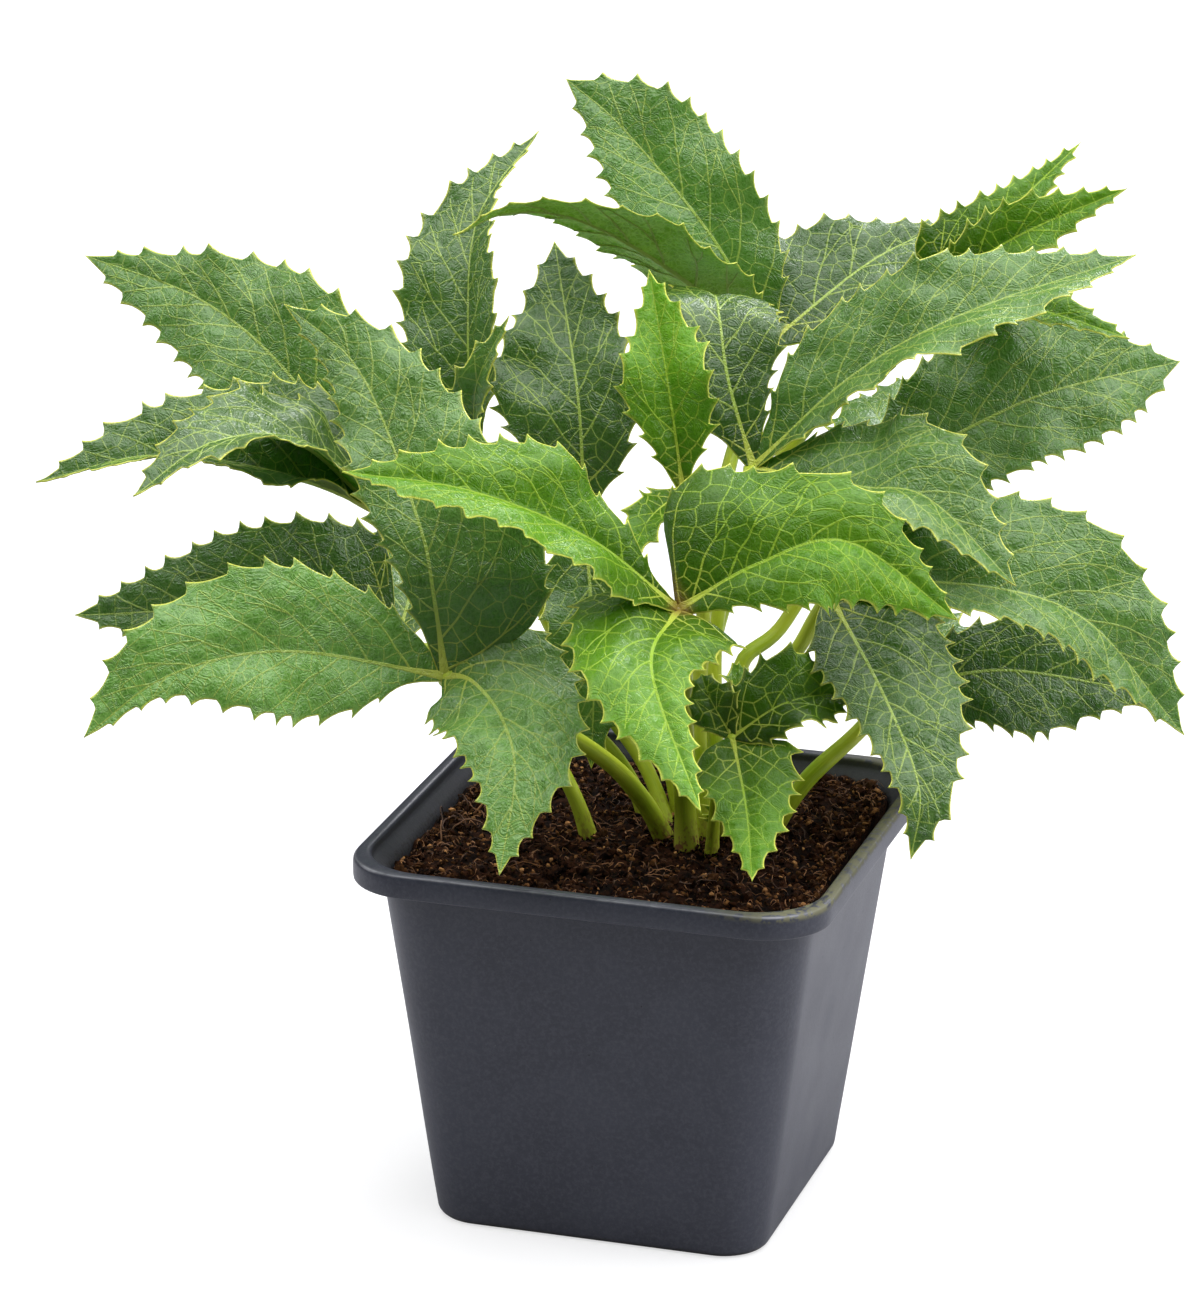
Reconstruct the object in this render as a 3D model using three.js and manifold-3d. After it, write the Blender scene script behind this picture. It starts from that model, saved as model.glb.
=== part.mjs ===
// Hellebore in a square nursery pot.
// Millimetres, +Z up. The origin is the middle of the pot's flat underside; -Y is the front.
// The pot is one thin moulding with a rolled rim, the soil fills it, and every leaf is one
// grown piece: three to four toothed leaflets joined at a hub on top of a round petiole.

import * as THREE from 'three';
import { mergeVertices } from 'three/addons/utils/BufferGeometryUtils.js';
import Module from 'manifold-3d';

// ---- driving dimensions ----

const POT_HEIGHT = 105.8;
const POT_HALF_AT_BASE = 45.9;
const POT_HALF_UNDER_RIM = 59.1;
const POT_CORNER_AT_BASE = 12.6;
const POT_CORNER_AT_TOP = 19.5;
const POT_EDGE_ROUND = 2.2;
const EDGE_BEVEL = 0.3;
const WALL = 1.8;
const RIM_HALF = 65;
const RIM_CORNER = 18;
const RIM_DEPTH = 6.7;
const RIM_ROUND = 1.2;
const RIM_LIP = 3.9;
const RIM_LIP_DEPTH = 2.6;
const CORNER_STEPS = 5;
const DRAIN_RADIUS = 4;
const DRAIN_FROM_MIDDLE = 27;
const DRAIN_SIDES = 12;

const SOIL_LEVEL = 97.5;
const SOIL_GAP = 0.4;
const SOIL_MOUND = 2.5;
const SOIL_CRUMB = 0.8;
const SOIL_CRUMB_LENGTH = 20;
const SOIL_GRID = 12;
const ROOT_DEPTH = 9;
const HOLE_GAP = 0.6;

const BLADE_THICKNESS = 0.8;
const PETIOLE_RADIUS = 2.1;
const PETIOLE_SIDES = 6;
const PETIOLE_STEP = 14;
const HUB_RADIUS = 2.9;
const STALK_HALF_WIDTH = 1.5;
const FIRST_TOOTH = 0.1;
const LAST_TOOTH = 0.93;
const TOOTH_HEIGHT = 2.4;
const SMALLEST_TOOTH = 0.4;
const FULL_TOOTH_EDGE = 16;
const TOOTH_LEAN = 0.35;
const WAVE_HEIGHT = 1;
const WAVE_CYCLES = 2.5;

// Shares of the midrib at which a blade's half widths are given.
const WIDTH_STATIONS = [0.1, 0.25, 0.5, 0.75];

// ---- materials ----

const finish = (color, roughness) => new THREE.MeshStandardMaterial({ color, roughness, metalness: 0 });
const POT_PLASTIC = finish(0x3e424c, 0.5);
const PEAT = finish(0x2a1c14, 0.95);
const MATURE_GREEN = finish(0x4d7a3e, 0.45);
const YOUNG_GREEN = finish(0x6aa83a, 0.4);

// ---- the leaves ----
// petiole: where the stalk leaves the soil (x, y), then its bends, and last the hub.
// radius: the stalk's, where it isn't PETIOLE_RADIUS.
// rib: the points that a leaflet's midrib passes after the hub, its tip last.
// left, right: half widths at WIDTH_STATIONS, seen on the upper face with the tip pointing away.
// face: bearing and height in degrees of the upper face; bearing 0 is the front, 90 the right.
// fold: rise in degrees of both halves from the midrib. teeth: teeth on each edge.

const LEAVES = [
  {
    name: 'leaf_left_low',
    finish: MATURE_GREEN,
    petiole: [[10, 1], [2, -8, 113], [-10, -21, 131], [-40, -48, 156]],
    radius: 2.5,
    leaflets: [
      { rib: [[-76, -70, 166], [-103, -84, 161], [-122, -96, 146]],
        left: [4, 14, 16, 5], right: [10, 18, 22, 14], face: [15, 30], fold: 8, teeth: 11 },
      { rib: [[-43, -48, 177], [-49, -43, 196], [-71, -25, 229], [-95, -16, 243]],
        left: [4, 8, 12, 8], right: [24, 30, 23, 13], face: [15, 25], fold: 6, teeth: 13 },
      { rib: [[-31, -53, 157], [-19, -65, 152], [-11, -79, 142], [-10, -95, 121]],
        left: [18, 22, 18, 8], right: [12, 15, 13, 7], face: [17, 45], fold: 6, teeth: 10 },
    ],
  },
  {
    name: 'leaf_front',
    finish: YOUNG_GREEN,
    petiole: [[15, -8], [14, -9, 117], [16, -19, 146], [19, -35, 176]],
    radius: 3,
    leaflets: [
      { rib: [[-1, -48, 197], [-28, -64, 212], [-58, -77, 218]],
        left: [8, 16, 16, 10], right: [3, 9, 19, 10], face: [10, 60], fold: 20, teeth: 11 },
      { rib: [[22, -69, 171], [46, -106, 148]],
        left: [18, 18, 8, 4], right: [20, 22, 16, 8], face: [17, 55], fold: 8, teeth: 10 },
      { rib: [[39, -30, 189], [61, -23, 195], [89, -17, 175]],
        left: [24, 30, 19, 8], right: [6, 11, 20, 11], face: [10, 45], fold: 5, teeth: 11 },
    ],
  },
  {
    name: 'leaf_middle_young',
    finish: YOUNG_GREEN,
    petiole: [[17, 1], [13, 8, 137], [13, 10, 163], [8, 7, 195]],
    leaflets: [
      { rib: [[3, 10, 221], [-7, 24, 250]],
        left: [4, 8, 13, 6], right: [4, 9, 12, 7], face: [17, 15], fold: 22, teeth: 8 },
      { rib: [[3, -7, 191], [2, -21, 184]],
        left: [3, 5, 6, 4], right: [3, 5, 6, 4], face: [17, 50], fold: 30, teeth: 5 },
      { rib: [[19, 13, 186], [29, 17, 175]],
        left: [3, 5, 6, 4], right: [3, 5, 6, 4], face: [17, 50], fold: 30, teeth: 5 },
    ],
  },
  {
    name: 'leaf_middle_back',
    finish: MATURE_GREEN,
    petiole: [[9, 13], [-1, 17, 127], [-15, 23, 155], [-26, 29, 177]],
    leaflets: [
      { rib: [[-30, 36, 209], [-45, 62, 245]],
        left: [8, 16, 22, 12], right: [6, 13, 15, 10], face: [10, 20], fold: 10, teeth: 10 },
      { rib: [[-50, 30, 169], [-71, 31, 158]],
        left: [5, 8, 10, 6], right: [5, 8, 10, 6], face: [10, 50], fold: 10, teeth: 7 },
      { rib: [[-19, 16, 147], [-17, 8, 114]],
        left: [8, 12, 12, 7], right: [8, 12, 12, 7], face: [17, 20], fold: 10, teeth: 8 },
    ],
  },
  {
    name: 'leaf_back_tall',
    finish: MATURE_GREEN,
    petiole: [[8, 6], [-5, 17, 114], [-33, 29, 142], [-62, 45, 189]],
    leaflets: [
      { rib: [[-66, 51, 221], [-69, 69, 248], [-60, 95, 267]],
        left: [8, 16, 18, 8], right: [7, 12, 11, 2], face: [-13, 15], fold: 28, teeth: 12 },
      { rib: [[-56, 28, 213], [-48, 31, 232]],
        left: [4, 6, 7, 4], right: [3, 4, 5, 3], face: [-10, 20], fold: 35, teeth: 6 },
      { rib: [[-83, 60, 189], [-111, 76, 187]],
        left: [7, 13, 16, 9], right: [7, 13, 16, 9], face: [-30, 60], fold: 10, teeth: 8 },
    ],
  },
  {
    name: 'leaf_left_high',
    finish: MATURE_GREEN,
    petiole: [[-10, -8], [-19, -7, 115], [-42, -3, 146], [-73, -4, 185]],
    leaflets: [
      { rib: [[-100, 2, 218], [-128, 9, 235], [-163, 14, 243]],
        left: [8, 16, 18, 12], right: [10, 20, 22, 10], face: [0, 35], fold: 6, teeth: 12 },
      { rib: [[-91, -17, 196], [-124, -34, 204], [-153, -49, 198]],
        left: [6, 12, 13, 7], right: [14, 26, 20, 10], face: [-20, 60], fold: 40, teeth: 11 },
      { rib: [[-88, -26, 209], [-103, -51, 214], [-117, -71, 204]],
        left: [6, 12, 13, 7], right: [9, 16, 16, 9], face: [5, 68], fold: 18, teeth: 10 },
    ],
  },
  {
    name: 'leaf_left_back',
    finish: MATURE_GREEN,
    petiole: [[1, 14], [-15, 19, 116], [-46, 17, 136], [-71, 4, 145]],
    leaflets: [
      { rib: [[-111, -2, 152], [-157, -14, 150]],
        left: [10, 16, 17, 8], right: [24, 28, 22, 11], face: [10, 30], fold: 8, teeth: 12 },
      { rib: [[-78, 45, 156], [-85, 85, 167]],
        left: [8, 14, 16, 9], right: [8, 14, 16, 9], face: [0, 65], fold: 8, teeth: 9 },
    ],
  },
  {
    name: 'leaf_top',
    finish: MATURE_GREEN,
    petiole: [[15, 18], [11, 24, 126], [8, 38, 155], [4, 64, 182], [7, 94, 212]],
    leaflets: [
      { rib: [[-8, 93, 240], [-36, 97, 269], [-54, 101, 281]],
        left: [8, 15, 17, 11], right: [8, 15, 18, 16], face: [17, 25], fold: 8, teeth: 12 },
      { rib: [[-16, 67, 240], [-36, 51, 255], [-52, 39, 258], [-63, 29, 253]],
        left: [8, 15, 15, 7], right: [7, 12, 10, 5], face: [197, 55], fold: 8, teeth: 11 },
      { rib: [[29, 118, 231], [47, 140, 239]],
        left: [18, 22, 19, 8], right: [8, 14, 15, 8], face: [10, 50], fold: 8, teeth: 9 },
    ],
  },
  {
    name: 'leaf_right_high',
    finish: MATURE_GREEN,
    petiole: [[20, 8], [16, 13, 130], [14, 23, 159], [20, 33, 195]],
    leaflets: [
      { rib: [[12, 36, 217], [7, 44, 232], [2, 57, 235], [-4, 74, 227]],
        left: [5, 10, 15, 13], right: [5, 10, 16, 14], face: [28, 45], fold: 4, teeth: 10 },
      { rib: [[45, 38, 221], [73, 44, 239], [114, 72, 252]],
        left: [8, 17, 20, 12], right: [5, 10, 14, 12], face: [0, 60], fold: 25, teeth: 13 },
      { rib: [[53, 19, 197], [73, 14, 197], [99, 6, 178]],
        left: [8, 17, 22, 11], right: [5, 10, 14, 9], face: [5, 65], fold: 25, teeth: 11 },
    ],
  },
  {
    name: 'leaf_right_young',
    finish: YOUNG_GREEN,
    petiole: [[20, 24], [8, 38, 126], [8, 49, 150], [18, 62, 186], [55, 85, 234]],
    leaflets: [
      { rib: [[71, 99, 252], [87, 123, 269]],
        left: [12, 12, 7, 3], right: [5, 9, 7, 3], face: [10, 30], fold: 15, teeth: 9 },
      { rib: [[79, 87, 251], [106, 96, 264]],
        left: [4, 8, 9, 5], right: [4, 8, 8, 4], face: [10, 35], fold: 15, teeth: 8 },
      { rib: [[86, 72, 235], [114, 68, 230]],
        left: [4, 7, 9, 5], right: [3, 6, 7, 4], face: [10, 65], fold: 15, teeth: 7 },
    ],
  },
  {
    name: 'leaf_right_middle',
    finish: MATURE_GREEN,
    petiole: [[24, 14], [19, 24, 138], [29, 36, 152], [47, 55, 189]],
    leaflets: [
      { rib: [[66, 64, 199], [90, 79, 210], [121, 103, 215]],
        left: [12, 20, 22, 14], right: [8, 15, 17, 14], face: [15, 30], fold: 5, teeth: 13 },
      { rib: [[45, 95, 194], [47, 130, 199]],
        left: [7, 14, 16, 9], right: [7, 14, 16, 9], face: [10, 70], fold: 8, teeth: 9 },
    ],
  },
  {
    name: 'leaf_front_right',
    finish: MATURE_GREEN,
    petiole: [[27, 0], [34, 8, 139], [42, 9, 158], [49, 5, 171]],
    leaflets: [
      { rib: [[70, -17, 152], [84, -34, 134], [84, -41, 117]],
        left: [16, 21, 19, 10], right: [8, 12, 9, 6], face: [25, 35], fold: 5, teeth: 11 },
      { rib: [[78, 12, 175], [113, 20, 167], [141, 26, 135]],
        left: [13, 23, 26, 15], right: [5, 9, 12, 9], face: [5, 55], fold: 18, teeth: 13 },
    ],
  },
  {
    name: 'leaf_right_low',
    finish: MATURE_GREEN,
    petiole: [[28, 7], [40, 14, 113], [53, 22, 127], [62, 28, 138]],
    radius: 2.4,
    leaflets: [
      { rib: [[89, 40, 143], [130, 58, 134]],
        left: [6, 11, 14, 8], right: [8, 13, 17, 8], face: [10, 30], fold: 5, teeth: 10 },
      { rib: [[59, 69, 139], [56, 102, 141]],
        left: [7, 12, 14, 8], right: [7, 12, 14, 8], face: [10, 70], fold: 8, teeth: 8 },
    ],
  },
  {
    name: 'leaf_low_small',
    finish: YOUNG_GREEN,
    petiole: [[21, -8], [24, -13, 117], [29, -20, 131], [32, -27, 140]],
    radius: 1.7,
    leaflets: [
      { rib: [[41, -45, 127], [48, -64, 115]],
        left: [13, 14, 11, 6], right: [9, 11, 8, 4], face: [17, 40], fold: 10, teeth: 7 },
      { rib: [[25, -24, 149], [21, -19, 154]],
        left: [3, 5, 7, 4], right: [3, 5, 7, 4], face: [10, 20], fold: 20, teeth: 4 },
      { rib: [[30, -15, 146], [27, -4, 153]],
        left: [3, 4, 5, 4], right: [3, 4, 5, 4], face: [40, 20], fold: 30, teeth: 4 },
      { rib: [[45, -21, 149], [60, -6, 149]],
        left: [9, 11, 13, 9], right: [6, 8, 10, 7], face: [17, 50], fold: 15, teeth: 7 },
    ],
  },
  {
    name: 'leaf_shoot',
    finish: YOUNG_GREEN,
    petiole: [[22, 1], [22, 0, 105]],
    radius: 1.2,
    leaflets: [
      { rib: [[22, -3, 110], [22, -5, 115]],
        left: [2, 3, 3, 2], right: [2, 3, 3, 2], face: [17, 20], fold: 25, teeth: 4 },
    ],
  },
];

// ---- solids ----

const wasm = await Module();
wasm.setup();

function solidFromGeometry(geometry) {
  const bare = geometry.clone();
  bare.deleteAttribute('normal');
  bare.deleteAttribute('uv');
  const merged = mergeVertices(bare, 1e-4);
  return solidFromArrays(merged.attributes.position.array, merged.index.array);
}

function solidFromArrays(positions, triangles) {
  const mesh = new wasm.Mesh({
    numProp: 3,
    vertProperties: new Float32Array(positions),
    triVerts: new Uint32Array(triangles),
  });
  return new wasm.Manifold(mesh);
}

function geometryFromSolid(solid) {
  const mesh = solid.getMesh();
  const geometry = new THREE.BufferGeometry();
  geometry.setAttribute('position', new THREE.BufferAttribute(mesh.vertProperties, 3));
  geometry.setIndex(new THREE.BufferAttribute(mesh.triVerts, 1));
  geometry.computeVertexNormals();
  return geometry;
}

function meshFromSolid(name, solid, material) {
  const mesh = new THREE.Mesh(geometryFromSolid(solid), material);
  mesh.name = name;
  return mesh;
}

// ---- pot ----

// A square outline with round corners, anticlockwise seen from above.
function roundedSquare(half, radius, z) {
  const points = [];
  for (let corner = 0; corner < 4; corner++) {
    const middle = new THREE.Vector2(half - radius, half - radius)
      .rotateAround(new THREE.Vector2(), corner * Math.PI / 2);
    for (let step = 0; step <= CORNER_STEPS; step++) {
      const angle = (corner + step / CORNER_STEPS) * Math.PI / 2;
      points.push([middle.x + radius * Math.cos(angle), middle.y + radius * Math.sin(angle), z]);
    }
  }
  return points;
}

// Skins a closed body over a stack of outlines with equal counts; the ends are flat fans.
function loft(rings) {
  const count = rings[0].length;
  const positions = rings.flat(2);
  const triangles = [];
  for (let ring = 0; ring + 1 < rings.length; ring++) {
    for (let i = 0; i < count; i++) {
      const next = (i + 1) % count;
      const low = ring * count;
      const high = low + count;
      triangles.push(low + i, low + next, high + next, low + i, high + next, high + i);
    }
  }
  const lastRing = (rings.length - 1) * count;
  for (let i = 1; i + 1 < count; i++) {
    triangles.push(0, i + 1, i, lastRing, lastRing + i, lastRing + i + 1);
  }
  return solidFromArrays(positions, triangles);
}

const rimUnderside = POT_HEIGHT - RIM_DEPTH;

// Half width and corner radius of the tapered wall at a height.
function wallAt(z) {
  const share = z / rimUnderside;
  return {
    half: THREE.MathUtils.lerp(POT_HALF_AT_BASE, POT_HALF_UNDER_RIM, share),
    corner: THREE.MathUtils.lerp(POT_CORNER_AT_BASE, POT_CORNER_AT_TOP, share),
  };
}

function insetWall(z, inset) {
  const wall = wallAt(z);
  return roundedSquare(wall.half - inset, wall.corner - inset, z);
}

function makePot() {
  const edge = POT_EDGE_ROUND;
  const outside = loft([
    insetWall(0, edge),
    insetWall(edge * EDGE_BEVEL, edge * EDGE_BEVEL),
    insetWall(edge, 0),
    insetWall(rimUnderside, 0),
    roundedSquare(RIM_HALF - RIM_ROUND, RIM_CORNER - RIM_ROUND, rimUnderside + 0.01),
    roundedSquare(RIM_HALF, RIM_CORNER, rimUnderside + RIM_ROUND),
    roundedSquare(RIM_HALF, RIM_CORNER, POT_HEIGHT - RIM_ROUND),
    roundedSquare(RIM_HALF - RIM_ROUND, RIM_CORNER - RIM_ROUND, POT_HEIGHT),
  ]);
  const mouth = RIM_HALF - RIM_LIP;
  const inside = loft([
    insetWall(WALL, WALL),
    insetWall(rimUnderside, WALL),
    roundedSquare(mouth, RIM_CORNER - RIM_LIP, POT_HEIGHT - RIM_LIP_DEPTH),
    roundedSquare(mouth, RIM_CORNER - RIM_LIP, POT_HEIGHT + 1),
  ]);
  const drill = new THREE.CylinderGeometry(DRAIN_RADIUS, DRAIN_RADIUS, 4 * WALL, DRAIN_SIDES);
  drill.rotateX(Math.PI / 2);
  let pot = outside.subtract(inside);
  for (const x of [-DRAIN_FROM_MIDDLE, DRAIN_FROM_MIDDLE]) {
    for (const y of [-DRAIN_FROM_MIDDLE, DRAIN_FROM_MIDDLE]) {
      pot = pot.subtract(solidFromGeometry(drill).translate([x, y, 0]));
    }
  }
  return pot;
}

// ---- soil ----

// Height of the soil's crumbly, gently mounded top.
function soilHeight(x, y) {
  const reach = Math.hypot(x, y) / POT_HALF_UNDER_RIM;
  const mound = SOIL_MOUND * Math.max(0, 1 - reach * reach);
  const turn = 2 * Math.PI / SOIL_CRUMB_LENGTH;
  const crumbs = Math.sin(turn * x + 1) * Math.cos(turn * y) + Math.sin(turn * (2 * x - y));
  return SOIL_LEVEL + mound + SOIL_CRUMB / 2 * crumbs;
}

// Everything from just below the pot up to the soil's top, as a square slab with a grid on top.
function groundSlab(halfWide) {
  const side = SOIL_GRID + 1;
  const under = side * side;
  const positions = [];
  for (const isTop of [true, false]) {
    for (let i = 0; i < side * side; i++) {
      const x = halfWide * (2 * (i % side) / SOIL_GRID - 1);
      const y = halfWide * (2 * Math.floor(i / side) / SOIL_GRID - 1);
      positions.push(x, y, isTop ? soilHeight(x, y) : -1);
    }
  }
  const triangles = [];
  for (let row = 0; row < SOIL_GRID; row++) {
    for (let column = 0; column < SOIL_GRID; column++) {
      const a = row * side + column;
      const quad = [a, a + 1, a + side + 1, a, a + side + 1, a + side];
      triangles.push(...quad, ...quad.map((index) => index + under).reverse());
    }
  }
  const edge = [];
  for (let i = 0; i < SOIL_GRID; i++) edge.push(i);
  for (let i = 0; i < SOIL_GRID; i++) edge.push(i * side + SOIL_GRID);
  for (let i = SOIL_GRID; i > 0; i--) edge.push(SOIL_GRID * side + i);
  for (let i = SOIL_GRID; i > 0; i--) edge.push(i * side);
  edge.forEach((a, i) => {
    const b = edge[(i + 1) % edge.length];
    triangles.push(a, a + under, b + under, a, b + under, b);
  });
  return solidFromArrays(positions, triangles);
}

// The soil fills the tapered pot, less a plain hole for each stalk.
function makeSoil(holes) {
  const inset = WALL + SOIL_GAP;
  const floor = insetWall(inset, inset);
  const top = insetWall(SOIL_LEVEL - SOIL_GAP, inset);
  const above = top.map(([x, y]) => [x, y, POT_HEIGHT]);
  let soil = loft([floor, top, above]).intersect(groundSlab(POT_HALF_UNDER_RIM));
  for (const hole of holes) {
    soil = soil.subtract(hole);
  }
  return soil;
}

// ---- leaves ----

// Half width of one side of a blade along its midrib, from the stalk to the pointed tip: a
// smooth line through the widths at WIDTH_STATIONS.
function halfWidth(widths, along) {
  const places = [0, ...WIDTH_STATIONS, 1];
  const knots = [STALK_HALF_WIDTH, ...widths, 0];
  const last = places.length - 1;
  const slope = (i) => {
    const before = Math.max(i - 1, 0);
    const after = Math.min(i + 1, last);
    return (knots[after] - knots[before]) / (places[after] - places[before]);
  };
  const next = Math.max(1, places.findIndex((place) => place >= along));
  const span = places[next] - places[next - 1];
  const t = (along - places[next - 1]) / span;
  const width = (2 * t ** 3 - 3 * t ** 2 + 1) * knots[next - 1]
    + (t ** 3 - 2 * t ** 2 + t) * span * slope(next - 1)
    + (3 * t ** 2 - 2 * t ** 3) * knots[next]
    + (t ** 3 - t ** 2) * span * slope(next);
  return Math.max(width, 0);
}

// Direction of a bearing and a height: bearing 0 is the front, 90 the right.
function directionOf([bearing, height]) {
  const azimuth = THREE.MathUtils.degToRad(bearing);
  const elevation = THREE.MathUtils.degToRad(height);
  return new THREE.Vector3(
    Math.sin(azimuth) * Math.cos(elevation),
    -Math.cos(azimuth) * Math.cos(elevation),
    Math.sin(elevation),
  );
}

// The middle surface of a leaflet: a point and its normal at a share along the midrib and a
// signed distance across it, positive to the right.
function bladeSurface(hub, leaflet) {
  const route = [hub, ...leaflet.rib].map((point) => new THREE.Vector3(...point));
  const rib = new THREE.CatmullRomCurve3(route, false, 'catmullrom', 0.5);
  const face = directionOf(leaflet.face);
  const fold = THREE.MathUtils.degToRad(leaflet.fold);
  return (along, across) => {
    const tangent = rib.getTangentAt(Math.min(along, 0.999));
    const up = face.clone().addScaledVector(tangent, -face.dot(tangent)).normalize();
    const right = new THREE.Vector3().crossVectors(tangent, up);
    const side = Math.sign(across);
    const outward = right.clone().multiplyScalar(side * Math.cos(fold)).addScaledVector(up, Math.sin(fold));
    const normal = up.clone().multiplyScalar(Math.cos(fold))
      .addScaledVector(right, -side * Math.sin(fold));
    const reach = Math.abs(across);
    const widths = side > 0 ? leaflet.right : leaflet.left;
    const share = reach / Math.max(...widths);
    const ripple = WAVE_HEIGHT * share ** 2 * Math.sin(2 * Math.PI * WAVE_CYCLES * along + side);
    const point = rib.getPointAt(Math.min(along, 1));
    point.addScaledVector(outward, reach).addScaledVector(normal, ripple);
    return { point, normal: side === 0 ? up : normal };
  };
}

// A closed toothed blade of even thickness. Both faces have the same triangles.
function makeBlade(hub, leaflet) {
  const surface = bladeSurface(hub, leaflet);
  const top = [];
  const bottom = [];
  const add = (along, across) => {
    const { point, normal } = surface(along, across);
    top.push(point.clone().addScaledVector(normal, BLADE_THICKNESS / 2));
    bottom.push(point.clone().addScaledVector(normal, -BLADE_THICKNESS / 2));
    return top.length - 1;
  };
  const faces = [];
  const outline = { left: [], right: [] };
  const cell = (LAST_TOOTH - FIRST_TOOTH) / leaflet.teeth;
  const stations = [0];
  for (let i = 0; i <= leaflet.teeth; i++) stations.push(FIRST_TOOTH + i * cell);
  const ribs = stations.map((along) => add(along, 0));
  const tip = add(1, 0);
  for (const [name, side] of [['right', 1], ['left', -1]]) {
    const widths = leaflet[name];
    const orient = (a, b, c) => faces.push(side > 0 ? [a, b, c] : [a, c, b]);
    const outer = stations.map((along) => add(along, side * halfWidth(widths, along)));
    outline[name].push(outer[0]);
    for (let i = 0; i + 1 < stations.length; i++) {
      orient(ribs[i], outer[i], outer[i + 1]);
      orient(ribs[i], outer[i + 1], ribs[i + 1]);
      if (i > 0) {
        const along = Math.min(1, stations[i + 1] + TOOTH_LEAN * cell);
        const edge = halfWidth(widths, along);
        const height = TOOTH_HEIGHT * Math.min(1, SMALLEST_TOOTH + edge / FULL_TOOTH_EDGE);
        const point = add(along, side * (edge + height));
        orient(outer[i], point, outer[i + 1]);
        outline[name].push(point);
      }
      outline[name].push(outer[i + 1]);
    }
    orient(ribs.at(-1), outer.at(-1), tip);
  }
  const count = top.length;
  const triangles = [];
  for (const [a, b, c] of faces) {
    triangles.push(a, b, c, a + count, c + count, b + count);
  }
  const loop = [ribs[0], ...outline.left, tip, ...outline.right.reverse()];
  loop.forEach((a, i) => {
    const b = loop[(i + 1) % loop.length];
    triangles.push(a, b, b + count, a, b + count, a + count);
  });
  const positions = [...top, ...bottom].flatMap((point) => point.toArray());
  return solidFromArrays(positions, triangles);
}

// The stalk's line, from its end under the soil to the hub.
function petiolePoints({ petiole }, depth) {
  const [[x, y], ...bends] = petiole;
  const buried = new THREE.Vector3(x, y, soilHeight(x, y) - depth);
  return [buried, ...bends.map((point) => new THREE.Vector3(...point))];
}

// A round stalk along a smooth line, thicker where it leaves the soil.
function makeStalk(points, radius) {
  const path = new THREE.CatmullRomCurve3(points, false, 'catmullrom', 0.5);
  const ring = new THREE.Shape();
  for (let i = 0; i < PETIOLE_SIDES; i++) {
    const angle = 2 * Math.PI * i / PETIOLE_SIDES;
    const x = radius * Math.cos(angle);
    const y = radius * Math.sin(angle);
    if (i === 0) ring.moveTo(x, y);
    else ring.lineTo(x, y);
  }
  const steps = Math.ceil(path.getLength() / PETIOLE_STEP);
  const settings = { steps, extrudePath: path, bevelEnabled: false, curveSegments: 1 };
  return solidFromGeometry(new THREE.ExtrudeGeometry(ring, settings));
}

function makeLeaf(leaf) {
  const points = petiolePoints(leaf, ROOT_DEPTH);
  const hub = points.at(-1);
  const knuckle = new THREE.IcosahedronGeometry(HUB_RADIUS, 1).translate(hub.x, hub.y, hub.z);
  let solid = makeStalk(points, leaf.radius ?? PETIOLE_RADIUS).add(solidFromGeometry(knuckle));
  for (const leaflet of leaf.leaflets) {
    solid = solid.add(makeBlade(hub.toArray(), leaflet));
  }
  return solid;
}

// ---- assembly ----

const plant = new THREE.Group();
plant.add(meshFromSolid('pot', makePot(), POT_PLASTIC));
const holes = LEAVES.map((leaf) => {
  const points = petiolePoints(leaf, ROOT_DEPTH + HOLE_GAP);
  return makeStalk(points, (leaf.radius ?? PETIOLE_RADIUS) + HOLE_GAP);
});
plant.add(meshFromSolid('soil', makeSoil(holes), PEAT));
for (const leaf of LEAVES) {
  plant.add(meshFromSolid(leaf.name, makeLeaf(leaf), leaf.finish));
}

export default plant;
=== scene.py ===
# A leafy hellebore in a square nursery pot. Metres, +Z up, origin in the middle of the pot's
# flat underside, -Y to the pot's front. Sizes named in millimetres are turned to metres by MM.

import math

import bpy
import numpy as np
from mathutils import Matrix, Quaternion, Vector, geometry, noise


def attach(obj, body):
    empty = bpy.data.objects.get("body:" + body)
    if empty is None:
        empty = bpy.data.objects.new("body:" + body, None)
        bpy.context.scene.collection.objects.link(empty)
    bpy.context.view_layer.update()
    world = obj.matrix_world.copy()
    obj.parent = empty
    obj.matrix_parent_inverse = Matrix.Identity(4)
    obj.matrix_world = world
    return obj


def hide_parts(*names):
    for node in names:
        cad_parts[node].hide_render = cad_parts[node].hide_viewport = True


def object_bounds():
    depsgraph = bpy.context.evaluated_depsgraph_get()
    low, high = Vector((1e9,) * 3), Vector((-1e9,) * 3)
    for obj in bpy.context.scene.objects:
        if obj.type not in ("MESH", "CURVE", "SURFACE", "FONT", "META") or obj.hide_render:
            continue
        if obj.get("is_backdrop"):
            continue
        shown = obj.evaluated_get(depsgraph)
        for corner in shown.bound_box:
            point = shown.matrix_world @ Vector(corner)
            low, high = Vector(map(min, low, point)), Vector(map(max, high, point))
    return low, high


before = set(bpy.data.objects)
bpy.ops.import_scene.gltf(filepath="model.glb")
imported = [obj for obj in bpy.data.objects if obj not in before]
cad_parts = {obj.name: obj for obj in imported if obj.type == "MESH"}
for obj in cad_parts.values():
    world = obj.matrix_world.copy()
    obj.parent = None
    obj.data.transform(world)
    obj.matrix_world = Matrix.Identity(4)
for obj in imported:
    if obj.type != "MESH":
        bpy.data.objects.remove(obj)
scene = bpy.context.scene
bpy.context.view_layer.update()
MM = 0.001


# ---- camera ----
# A long lens on a tripod, above the pot and a little to its right, level but for a slight
# lean. It frames the whole plant from the rim of the lowest shadow to the highest leaf.

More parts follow.
